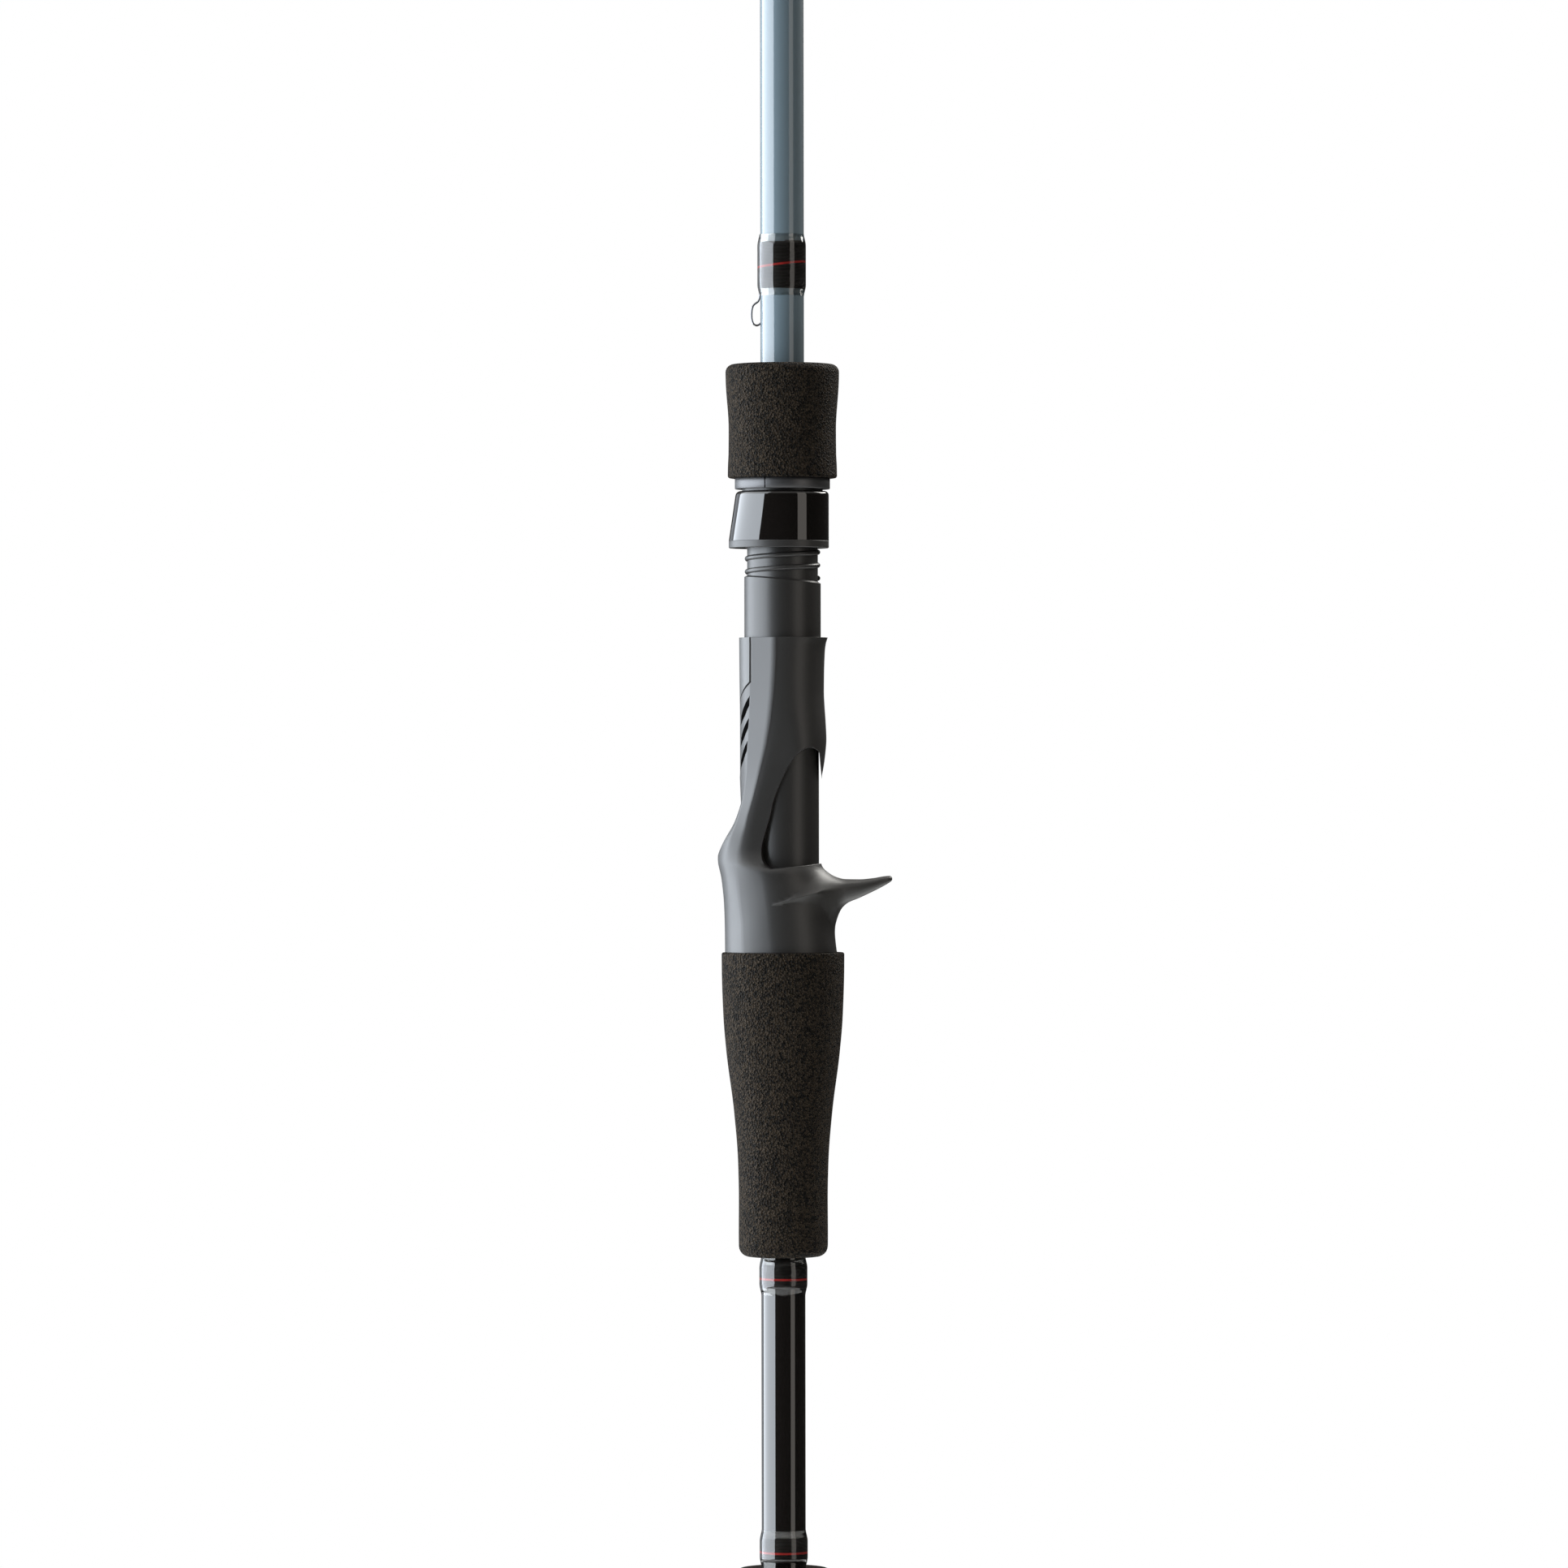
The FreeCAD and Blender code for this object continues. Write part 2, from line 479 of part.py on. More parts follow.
def insert_region():
    """The saddle strip's place: it ends in a V, and its sides follow the seat's flanks."""
    half = STRIP_HALF_WIDTH + math.sqrt(0.5) * seat_growth()
    side_z, point_z = seat_z(STRIP_SIDE_RISE), seat_z(STRIP_POINT_RISE)
    inner_x = -STRIP_DEPTH_SHARE * BARREL_R
    corners = [Vector(inner_x, -half, SEAT_TOP_Z), Vector(inner_x, -half, side_z), Vector(inner_x, 0, point_z),
               Vector(inner_x, half, side_z), Vector(inner_x, half, SEAT_TOP_Z)]
    floor = cylinder(BARREL_R + SADDLE_WALL, SEAT_BOTTOM_Z, SEAT_TOP_Z)
    return prism(corners, Vector(-BARREL_R, 0, 0)).cut(floor)


def gill_slits():
    """Three slanting slits on each side of the saddle."""
    slits = []
    floor = cylinder(BARREL_R + SADDLE_WALL, SEAT_BOTTOM_Z, SEAT_TOP_Z)
    inner_x = -SLIT_DEPTH_SHARE * BARREL_R
    for start_rise in SLIT_RISES:
        for side in (-1, 1):
            corners = [Vector(inner_x, side * y, seat_z(start_rise + drop)) for y, drop in SLIT_CORNERS]
            slits.append(prism(corners, Vector(-BARREL_R, 0, 0)).cut(floor))
    return slits


def seat_shell():
    """Moulded seat body with the fixed rear hood and the trigger."""
    body = seat_outer().cut(window_tool()).fuse(trigger())
    body = body.cut(cylinder(BARREL_LOWER_R, BARREL_BOTTOM_Z, BARREL_STEP_Z))
    body = body.cut(cylinder(BARREL_R, BARREL_STEP_Z, SEAT_TOP_Z))
    body = body.cut(cylinder(BARREL_BORE_R, SEAT_BOTTOM_Z, BARREL_BOTTOM_Z))
    body = body.cut(foot_pocket()).cut(insert_region())
    for slit in gill_slits():
        body = body.cut(slit)
    return body


def saddle_insert():
    return seat_outer().common(insert_region())


def hood_section(z, bulge, inset):
    """Egg-shaped ring: round, but fuller towards the reel side."""
    curve = Part.BSplineCurve()
    points = []
    for k in range(24):
        angle = math.radians(15 * k)
        fuller = bulge * max(0.0, -math.cos(angle)) ** 2
        radius = HOOD_R + fuller - inset
        points.append(Vector(radius * math.cos(angle), radius * math.sin(angle), z))
    curve.interpolate(points, PeriodicFlag=True)
    return Part.Wire(curve.toShape())


def hood_form(z_low, z_high, inset):
    """The hood's body between two heights; its reel side leans out towards the mouth."""
    slope = HOOD_BULGE / (HOOD_TOP_Z - HOOD_BOTTOM_Z - HOOD_LIP)
    wires = []
    for z in (z_low, 0.5 * (z_low + z_high), z_high):
        bulge = min(HOOD_BULGE, slope * (HOOD_TOP_Z - z))
        wires.append(hood_section(z, bulge, inset))
    return Part.makeLoft(wires, True, False)


def moving_hood():
    """Gloss cover over the liner, with a rounded top edge."""
    low = HOOD_BOTTOM_Z + HOOD_LIP
    outer = hood_form(low, HOOD_TOP_Z, 0.0)
    top_edge = max(outer.Edges, key=lambda edge: edge.CenterOfMass.z)
    return outer.makeFillet(HOOD_COVER_ROUND, [top_edge]).cut(hood_form(low, HOOD_TOP_Z, HOOD_COVER_WALL))


def hood_liner():
    """Slides on the barrel, holds the reel's foot at the mouth and the nut's flange at the top."""
    low = HOOD_BOTTOM_Z + HOOD_LIP
    lip = hood_form(HOOD_BOTTOM_Z, low, 0.0)
    body = hood_form(low, HOOD_TOP_Z, HOOD_COVER_WALL).fuse(lip)
    catch_z = HOOD_TOP_Z - HOOD_CATCH
    flange_low = catch_z - NUT_FLANGE_HEIGHT - 2 * MOVING_GAP
    body = body.cut(cylinder(HOOD_BORE_R, HOOD_BOTTOM_Z, flange_low))
    body = body.cut(cylinder(NUT_FLANGE_R + MOVING_GAP, flange_low, catch_z))
    body = body.cut(cylinder(NUT_NECK_R + MOVING_GAP, catch_z, HOOD_TOP_Z))
    pocket_top = HOOD_BOTTOM_Z + HOOD_POCKET_DEPTH
    reach = 2 * HOOD_R
    width_limit = Part.makeBox(reach, 2 * HOOD_POCKET_HALF, HOOD_POCKET_DEPTH,
                               Vector(-reach, -HOOD_POCKET_HALF, HOOD_BOTTOM_Z))
    body = body.cut(hood_form(HOOD_BOTTOM_Z, pocket_top, HOOD_POCKET_ROOF).common(width_limit))
    key_side = KEYWAY_WIDTH - 2 * MOVING_GAP
    key_top = THREAD_ROOT_R + MOVING_GAP
    key = Part.makeBox(key_side, HOOD_BORE_R + HOOD_KEY_SUNK - key_top, flange_low - HOOD_BOTTOM_Z,
                       Vector(-key_side / 2, key_top, HOOD_BOTTOM_Z))
    return body.fuse(key).removeSplitter()


def lock_nut():
    """Threaded sleeve under the front grip; its flange turns inside the hood's liner."""
    flange_top = HOOD_TOP_Z - HOOD_CATCH - MOVING_GAP
    flange_low = flange_top - NUT_FLANGE_HEIGHT
    body = turned([(NUT_BORE_R, flange_low), (NUT_FLANGE_R, flange_low), (NUT_FLANGE_R, flange_top),
                   (NUT_NECK_R, flange_top), (NUT_NECK_R, RING_BOTTOM_Z), (RING_GROOVE_R, RING_BOTTOM_Z),
                   (RING_GROOVE_R, FOREGRIP_BOTTOM_Z), (NUT_SLEEVE_R, FOREGRIP_BOTTOM_Z),
                   (NUT_SLEEVE_R, NUT_SLEEVE_TOP_Z),
                   (NUT_BORE_R, NUT_SLEEVE_TOP_Z)])
    turns_below = math.ceil((FOREGRIP_BOTTOM_Z - THREAD_BOTTOM_Z) / THREAD_PITCH)
    ridge_low = THREAD_BOTTOM_Z + turns_below * THREAD_PITCH - THREAD_PITCH / 2
    ridge = helical_ridge(NUT_BORE_R + NUT_THREAD_SUNK, NUT_RIDGE_TIP_R, NUT_RIDGE_ROOT_WIDTH,
                          NUT_RIDGE_TIP_WIDTH, ridge_low, NUT_SLEEVE_TOP_Z - NUT_RIDGE_ROOT_WIDTH)
    return body.fuse(ridge)


def retaining_ring():
    """Split ring that snaps round the nut's neck."""
    ring = tube(RING_R, RING_GROOVE_R, RING_BOTTOM_Z, FOREGRIP_BOTTOM_Z)
    slot = Part.makeBox(2 * RING_R, RING_SPLIT, RING_HEIGHT, Vector(0, -RING_SPLIT / 2, RING_BOTTOM_Z))
    slot.rotate(ORIGIN, AXIS, RING_SPLIT_ANGLE)
    return ring.cut(slot)


def wrapping(base_r, z_low, z_high, trim_z):
    """Thread layer, contrasting trim turns and clear coat of one wrapping on a parallel tube."""
    thread_r = base_r + WRAP_THREAD
    coat_r = thread_r + WRAP_COAT
    trim_low = trim_z - TRIM_WIDTH / 2
    trim_high = trim_z + TRIM_WIDTH / 2
    thread = tube(thread_r, base_r, z_low, trim_low).fuse(tube(thread_r, base_r, trim_high, z_high))
    trim = tube(thread_r, base_r, trim_low, trim_high)
    coat_low = z_low - WRAP_COAT_OVERHANG
    coat_high = z_high + WRAP_COAT_OVERHANG
    coat = turned([(base_r, coat_low), (coat_r, z_low), (coat_r, z_high), (base_r, coat_high)])
    coat = coat.cut(cylinder(base_r, coat_low, coat_high)).cut(cylinder(thread_r, z_low, z_high))
    return thread, trim, coat


def keeper_foot():
    """Flattened end of the keeper's wire, as thick as the thread that binds it."""
    low = KEEPER_LOOP_Z + KEEPER_COURSE[-1][1] - KEEPER_FOOT_START
    top_r = BLANK_R + WRAP_THREAD
    box = Part.makeBox(top_r, KEEPER_FOOT_WIDTH, KEEPER_FOOT_TOP_Z - low,
                       Vector(-top_r, -KEEPER_FOOT_WIDTH / 2, low))
    return box.common(tube(top_r, BLANK_R, low, KEEPER_FOOT_TOP_Z))


def hook_keeper():
    """Bent wire loop that runs out into a flattened foot, bound under the wrapping."""
    root_x = -(BLANK_R + KEEPER_ROOT_SHARE * KEEPER_WIRE_R)
    points = [Vector(root_x - reach, 0, KEEPER_LOOP_Z + rise) for reach, rise in KEEPER_COURSE]
    pieces = [strut(a, b, KEEPER_WIRE_R) for a, b in zip(points, points[1:])]
    return pieces[0].fuse(pieces[1:] + [keeper_foot()]).cut(blank_outer())


def foot_strip(z_low, z_high):
    """Guide foot: a flat strip bedded on the blank."""
    radius = blank_radius(z_low) + FOOT_THICK
    box = Part.makeBox(radius, FOOT_WIDTH, z_high - z_low, Vector(-radius, -FOOT_WIDTH / 2, z_low))
    return cylinder(radius, z_low, z_high).common(box).cut(blank_outer())


def foot_wrap(z_low, z_high):
    """Coated thread over a guide foot; it stands proud on the side where the foot lies."""
    base = blank_radius(z_low)
    shift = FOOT_THICK / 2
    radius = base + WRAP_THREAD + shift
    sleeve = Part.makeCylinder(radius, z_high - z_low, Vector(-shift, 0, z_low))
    bevel = radius - base - WRAP_END_EDGE
    sleeve = sleeve.makeChamfer(bevel, [e for e in sleeve.Edges if len(e.Vertexes) == 1])
    return sleeve.cut(blank_outer())


def ceramic_ring(centre, inner_d, outer_d):
    """Polished ring with a rounded bore."""
    r_in = inner_d / 2
    r_out = outer_d / 2
    half = GUIDE_PLATE / 2 + RING_PROUD
    shoulder = min(r_out - RING_BORE_EDGE, r_in + half)
    x, z = centre
    low_in = Vector(x + shoulder, 0, z - half)
    high_in = Vector(x + shoulder, 0, z + half)
    low_out = Vector(x + r_out, 0, z - half)
    high_out = Vector(x + r_out, 0, z + half)
    bore = Part.Arc(low_in, Vector(x + r_in, 0, z), high_in)
    outline = wire_from(bore, line(high_in, high_out), line(high_out, low_out), line(low_out, low_in))
    return Part.Face(outline).revolve(Vector(x, 0, 0), AXIS, 360)


def ring_room(centre, outer_d):
    """The room that a ceramic ring takes, a little longer than its holder."""
    x, z = centre
    half = GUIDE_PLATE / 2 + RING_PROUD
    return Part.makeCylinder(outer_d / 2, 2 * half, Vector(x, 0, z - half))


def ring_holder(centre, outer_d):
    x, z = centre
    rim = Part.makeCylinder(outer_d / 2 + GUIDE_RIM, GUIDE_PLATE, Vector(x, 0, z - GUIDE_PLATE / 2))
    return rim.cut(ring_room(centre, outer_d))


def guide(below_tip, inner_d, outer_d, clear, feet):
    """Line guide: frame with ring holder, legs and feet; ceramic ring; coated thread over the feet."""
    z = TIP_Z - below_tip
    rim_r = outer_d / 2 + GUIDE_RIM
    centre = (-(blank_radius(z) + clear + rim_r), z)
    reach = FOOT_REACH * (clear + rim_r)
    limbs = []
    wraps = []
    grip_r = rim_r - GUIDE_WIRE_R
    for way in (1, -1)[:feet]:
        heel_z = z + way * reach
        toe_z = heel_z + way * FOOT_LENGTH
        heel = Vector(-(blank_radius(heel_z) + FOOT_THICK / 2), 0, heel_z + way * FOOT_HEEL_SUNK)
        for side in (-1, 1):
            shoulder = Vector(centre[0], side * grip_r, z)
            elbow = Vector(heel.x - GUIDE_ELBOW_SHARE * clear, side * GUIDE_ELBOW_SHARE * grip_r,
                           heel.z - way * GUIDE_ELBOW_SHARE * reach)
            limbs += [strut(shoulder, elbow, GUIDE_WIRE_R), strut(elbow, heel, GUIDE_WIRE_R)]
        limbs.append(foot_strip(min(heel_z, toe_z), max(heel_z, toe_z)))
        wrap_start = heel_z + way * GUIDE_WRAP_HEEL
        wrap_end = toe_z + way * GUIDE_WRAP_OVER
        wraps.append(foot_wrap(min(wrap_start, wrap_end), max(wrap_start, wrap_end)))
    frame = ring_holder(centre, outer_d).fuse(limbs).cut(blank_outer()).cut(ring_room(centre, outer_d))
    wraps = [wrap.cut(frame) for wrap in wraps]
    return frame, ceramic_ring(centre, inner_d, outer_d), Part.makeCompound(wraps)


def tip_top():
    """Tip ring on a tube that slips over the end of the blank, and its short wrapping."""
    tube_low = TIP_Z - TIP_TUBE_LENGTH
    tube_r = blank_radius(tube_low) + TIP_TUBE_WALL
    tube_top = TIP_Z + TIP_TUBE_BEYOND
    sleeve = cylinder(tube_r, tube_low, tube_top).cut(blank_outer())
    centre = (-(TIP_RING_OD / 2 + GUIDE_RIM - TIP_RING_INSET), TIP_Z + TIP_RING_RISE)
    frame = sleeve.fuse(ring_holder(centre, TIP_RING_OD))
    rim_r = TIP_RING_OD / 2 + GUIDE_RIM - GUIDE_WIRE_R
    foot_point = Vector(0, 0, tube_top)
    ring_side = Vector(centre[0] + rim_r, 0, centre[1])
    struts = [strut(foot_point, ring_side, GUIDE_WIRE_R)]
    for side in (-1, 1):
        low = Vector(-(tube_r - TIP_STRUT_SUNK), side * TIP_STRUT_SPREAD, TIP_Z - TIP_STRUT_DROP)
        shoulder = Vector(centre[0] - TIP_SHOULDER_BACK, side * rim_r * TIP_SHOULDER_SHARE, centre[1])
        struts.append(strut(low, shoulder, GUIDE_WIRE_R))
    frame = frame.fuse(struts).cut(blank_outer())
    wrap_low = tube_low - TIP_WRAP_LENGTH
    wrap = cylinder(blank_radius(wrap_low) + WRAP_THREAD, wrap_low, tube_low).cut(blank_outer())
    return frame.cut(ring_room(centre, TIP_RING_OD)), ceramic_ring(centre, TIP_RING_ID, TIP_RING_OD), wrap


def save(name, shape):
    shape.exportStep(os.path.join("parts", name + ".step"))


os.makedirs("parts", exist_ok=True)

save("blank", blank())
save("handle_tube", handle_tube())
save("splice_spigot", splice_spigot())
save("butt_cap", butt_cap())
save("butt_grip", butt_grip())
save("rear_grip", rear_grip())
save("seat_barrel", seat_barrel())
save("arbor_front", arbor(BLANK_R, SPLICE_Z + SPIGOT_HALF, BARREL_TOP_Z))
save("arbor_rear", arbor(HANDLE_TUBE_R, SEAT_BOTTOM_Z, SPLICE_Z))
save("seat_shell", seat_shell())
save("saddle_insert", saddle_insert())
save("moving_hood", moving_hood())
save("hood_liner", hood_liner())
save("lock_nut", lock_nut())
save("retaining_ring", retaining_ring())
save("foregrip", foregrip())

save("hook_keeper", hook_keeper())
rear_wrap_top = REAR_GRIP_BOTTOM_Z - WRAP_COAT_OVERHANG
butt_wrap_bottom = BUTT_GRIP_TOP_Z + WRAP_COAT_OVERHANG
WRAPPINGS = [
    ("keeper", BLANK_R, KEEPER_WRAP_Z, KEEPER_WRAP_LENGTH, KEEPER_WRAP_Z + KEEPER_TRIM_RISE),
    ("rear", HANDLE_TUBE_R, rear_wrap_top - END_WRAP_LENGTH, END_WRAP_LENGTH, rear_wrap_top - END_TRIM_DROP),
    ("butt", HANDLE_TUBE_R, butt_wrap_bottom, END_WRAP_LENGTH,
     butt_wrap_bottom + END_WRAP_LENGTH - END_TRIM_DROP),
]
for place, base_r, low_z, length, trim_z in WRAPPINGS:
    thread, trim, coat = wrapping(base_r, low_z, low_z + length, trim_z)
    if place == "keeper":
        thread, trim, coat = [layer.cut(keeper_foot()) for layer in (thread, trim, coat)]
    save(place + "_wrap", thread)
    save(place + "_wrap_trim", trim)
    save(place + "_wrap_coat", coat)

for number, row in enumerate(GUIDES, start=1):
    frame, ring, wraps = guide(*row)
    save("guide_%d_frame" % number, frame)
    save("guide_%d_ring" % number, ring)
    save("guide_%d_wrap" % number, wraps)

frame, ring, wrap = tip_top()
save("tip_top_frame", frame)
save("tip_top_ring", ring)
save("tip_top_wrap", wrap)
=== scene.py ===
import math

import bmesh
import bpy
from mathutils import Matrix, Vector
from mathutils.bvhtree import BVHTree


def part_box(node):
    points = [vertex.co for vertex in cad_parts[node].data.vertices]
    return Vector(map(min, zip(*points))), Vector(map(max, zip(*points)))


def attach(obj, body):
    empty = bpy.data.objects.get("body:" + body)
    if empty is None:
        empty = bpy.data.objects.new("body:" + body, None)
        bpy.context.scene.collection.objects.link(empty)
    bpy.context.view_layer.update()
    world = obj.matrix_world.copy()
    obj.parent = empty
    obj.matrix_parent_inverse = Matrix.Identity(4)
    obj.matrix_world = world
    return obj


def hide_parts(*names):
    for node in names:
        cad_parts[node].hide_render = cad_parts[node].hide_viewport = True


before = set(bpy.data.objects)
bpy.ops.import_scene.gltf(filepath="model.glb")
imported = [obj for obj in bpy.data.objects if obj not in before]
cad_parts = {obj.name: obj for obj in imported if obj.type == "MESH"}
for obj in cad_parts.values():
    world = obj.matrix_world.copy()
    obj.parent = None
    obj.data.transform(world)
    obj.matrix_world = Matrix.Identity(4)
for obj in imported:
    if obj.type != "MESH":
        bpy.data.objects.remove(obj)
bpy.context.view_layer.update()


# ---- Blank and handle tube -----------------------------------------------------------------
# The rod itself: a rolled carbon tube, sanded and sprayed blue-grey under clear lacquer. Below the
# seat it carries on as a plain black handle tube. Both are straight turned tubes.
MM = 0.001
TAPER_START = 490.0
BLANK_RADIUS = 5.35
TIP_RADIUS = 0.95
BLANK_BORE = 4.15
TIP_BORE = 0.4
TUBE_RADIUS = 5.4
TAPER_STATIONS = range(600, 1800, 100)
LATHE_SIDES = 128
SHARP = 32


def heights(node):
    """Lowest and highest point of a CAD node, in mm."""
    low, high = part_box(node)
    return low.z / MM, high.z / MM


def shade(mesh, sharp=SHARP):
    """Smooth shading, except at edges sharper than this many degrees."""
    mesh.shade_smooth()
    mesh.set_sharp_from_angle(angle=math.radians(sharp))


def settle(name, shape, sharp=SHARP):
    """Turns a finished shape into a piece of the model: outward faces, smooth except at real edges."""
    bmesh.ops.recalc_face_normals(shape, faces=shape.faces)
    mesh = bpy.data.meshes.new(name)
    shape.to_mesh(mesh)
    shape.free()
    shade(mesh, sharp)
    piece = bpy.data.objects.new(name, mesh)
    bpy.context.collection.objects.link(piece)
    return piece


def skin(shape, rings, closed=False):
    """Faces between rings of points. A closed skin runs on to the first ring; an open one gets flat ends."""
    pairs = list(zip(rings, rings[1:]))
    if closed:
        pairs.append((rings[-1], rings[0]))
    for low, high in pairs:
        for k in range(len(low)):
            after = (k + 1) % len(low)
            shape.faces.new((low[k], low[after], high[after], high[k]))
    if not closed:
        shape.faces.new(rings[0])
        shape.faces.new(rings[-1])


def lathe(name, outline, bored=True, sides=LATHE_SIDES, reach=None, centre=(0, 0), sharp=SHARP):
    """Turned piece from (radius, height) points in mm. A bored outline closes on itself; a solid one
    gets flat ends. reach(angle, height) adds to the radius, for forms that are fuller on one side."""
    shape = bmesh.new()
    rows = []
    for radius, height in outline:
        row = []
        for k in range(sides):
            angle = 2 * math.pi * k / sides
            out = radius + (reach(angle, height) if reach else 0)
            place = Vector((centre[0] + out * math.cos(angle), centre[1] + out * math.sin(angle), height))
            row.append(shape.verts.new(place * MM))
        rows.append(row)
    skin(shape, rows, closed=bored)
    return settle(name, shape, sharp)


def colour(code):
    """Linear colour from an sRGB hex code."""
    parts = [int(code[k:k + 2], 16) / 255 for k in (1, 3, 5)]
    return [p / 12.92 if p <= 0.04045 else ((p + 0.055) / 1.055) ** 2.4 for p in parts] + [1.0]


def add(tree, kind, settings=(), links=()):
    """Adds a node. links gives its inputs, each a value or another node's output socket."""
    node = tree.nodes.new(kind)
    for key, value in dict(settings).items():
        setattr(node, key, value)
    for key, value in dict(links).items():
        if isinstance(value, bpy.types.NodeSocket):
            tree.links.new(value, node.inputs[key])
        else:
            node.inputs[key].default_value = value
    return node


def shader_of(material):
    """A material's Principled shader."""
    return material.node_tree.nodes["Principled BSDF"]


def finish(name, sockets):
    """New material, with values on its Principled shader's own sockets."""
    material = bpy.data.materials.new(name)
    material.use_nodes = True
    for key, value in sockets.items():
        shader_of(material).inputs[key].default_value = value
    return material


def fit(piece, material, slot, body, *stands_for):
    """Gives a piece its material, the body it moves with and the CAD nodes it stands for; slot is not used.
    """
    piece.data.materials.clear()
    piece.data.materials.append(material)
    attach(piece, body)
    if stands_for:
        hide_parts(*stands_for)


def blank_radius(height):
    """Radius of the blank: parallel through the handle, then an even taper to the tip."""
    share = (height - TAPER_START) / (heights("blank")[1] - TAPER_START)
    return BLANK_RADIUS + (TIP_RADIUS - BLANK_RADIUS) * min(1.0, max(0.0, share))


# sprayed enamel under clear lacquer: an even blue-grey with sharp, thin highlights
blank_enamel = finish("sprayed_enamel_blue_grey", {
    "Base Color": colour("#515e65"), "Roughness": 0.5, "Specular IOR Level": 0.1, "Coat Weight": 1.0,
    "Coat Roughness": 0.06, "Coat IOR": 1.5})
low_z, high_z = heights("blank")
outside = [(BLANK_RADIUS, low_z), (BLANK_RADIUS, TAPER_START)]
outside += [(blank_radius(z), z) for z in TAPER_STATIONS] + [(TIP_RADIUS, high_z)]
inside = [(TIP_BORE, high_z), (BLANK_BORE, TAPER_START), (BLANK_BORE, low_z)]
blank = lathe("blank_tube", outside + inside)
fit(blank, blank_enamel, "blank_paint", "rod", "blank")

# gloss black enamel: nearly no colour of its own, only the room's reflection
black_enamel = finish("gloss_enamel_black", {
    "Base Color": colour("#0c0a09"), "Roughness": 0.5, "Specular IOR Level": 0.0, "Coat Weight": 1.0,
    "Coat Roughness": 0.03, "Coat IOR": 1.55})
low_z, high_z = heights("handle_tube")
tube_outline = [(TUBE_RADIUS, low_z), (TUBE_RADIUS, high_z), (BLANK_BORE, high_z), (BLANK_BORE, low_z)]
fit(lathe("handle_tube_enamelled", tube_outline), black_enamel, "black_gloss", "rod", "handle_tube")


# ---- Foam grips ----------------------------------------------------------------------------
# Three turned grips of dense closed-cell EVA foam, reamed and glued on. The rear one swells under
# the palm; the front one is glued over the lock nut's sleeve and turns with it.
FOAM_STEP = 1.0


def through(table, at):
    """Value at a place, on a smooth curve through a table of (place, value) rows that never overshoots."""
    places = [row[0] for row in table]
    values = [row[1] for row in table]
    slopes = [(values[k + 1] - values[k]) / (places[k + 1] - places[k]) for k in range(len(table) - 1)]
    tangents = [slopes[0]]
    for before, after in zip(slopes, slopes[1:]):
        tangents.append(0.0 if before * after <= 0 else 2 * before * after / (before + after))
    tangents.append(slopes[-1])
    at = min(places[-1], max(places[0], at))
    k = max(j for j in range(len(table) - 1) if places[j] <= at)
    width = places[k + 1] - places[k]
    t = (at - places[k]) / width
    bent = (2 * t ** 3 - 3 * t ** 2 + 1) * values[k] + (t ** 3 - 2 * t ** 2 + t) * width * tangents[k]
    return bent + (3 * t ** 2 - 2 * t ** 3) * values[k + 1] + (t ** 3 - t ** 2) * width * tangents[k + 1]


def grip_outline(low_z, high_z, profile, round_low, round_high, bore):
    """Outside of a grip with rounded ends, then its bore, as (radius, height) points."""
    outside = []
    steps = 6
    for k in range(steps + 1):
        turn = math.pi / 2 * k / steps
        z = low_z + round_low * (1 - math.cos(turn))
        outside.append((through(profile, z) - round_low * (1 - math.sin(turn)), z))
    rows = int((high_z - low_z - round_low - round_high) / FOAM_STEP)
    for k in range(1, rows):
        z = low_z + round_low + (high_z - low_z - round_low - round_high) * k / rows
        outside.append((through(profile, z), z))
    for k in range(steps + 1):
        turn = math.pi / 2 * (1 - k / steps)
        z = high_z - round_high * (1 - math.cos(turn))
        outside.append((through(profile, z) - round_high * (1 - math.sin(turn)), z))
    return outside + [(radius, z) for radius, z in bore]


# closed-cell EVA foam, ground to shape: dull, near black, with cut cells of about half a millimetre; its
# mottled tone has bright brownish flecks that are partly painted glints of light off the cells
FOAM_CELL = 0.5
FOAM_FLECK = 0.35
FOAM_RELIEF = 0.6
foam = finish("eva_foam_ground", {"Roughness": 0.62, "Specular IOR Level": 0.05})
tree = foam.node_tree
place = add(tree, "ShaderNodeTexCoord").outputs["Object"]
cells = add(tree, "ShaderNodeTexVoronoi", {"feature": "F1"}, {"Vector": place, "Scale": 1 / (FOAM_CELL * MM)})
glint_flecks = add(tree, "ShaderNodeTexNoise", {}, {"Vector": place, "Scale": 1 / (FOAM_FLECK * MM), "Detail": 2.0})
# random tone per cell times noise: a mottled colour whose bright flecks also serve as painted glints
fleck_glint_tone = add(tree, "ShaderNodeMath", {"operation": "MULTIPLY"}, {
    0: cells.outputs["Color"], 1: glint_flecks.outputs["Fac"]})
ramp = add(tree, "ShaderNodeValToRGB", {}, {"Fac": fleck_glint_tone.outputs[0]})
ramp.color_ramp.elements[0].position = 0.12
ramp.color_ramp.elements[0].color = colour("#070605")
ramp.color_ramp.elements[1].position = 0.42
ramp.color_ramp.elements[1].color = colour("#2c251d")
grain = add(tree, "ShaderNodeBump", {}, {
    "Height": cells.outputs["Distance"], "Strength": 1.0, "Distance": FOAM_RELIEF * MM})
tree.links.new(ramp.outputs["Color"], shader_of(foam).inputs["Base Color"])
tree.links.new(grain.outputs["Normal"], shader_of(foam).inputs["Normal"])

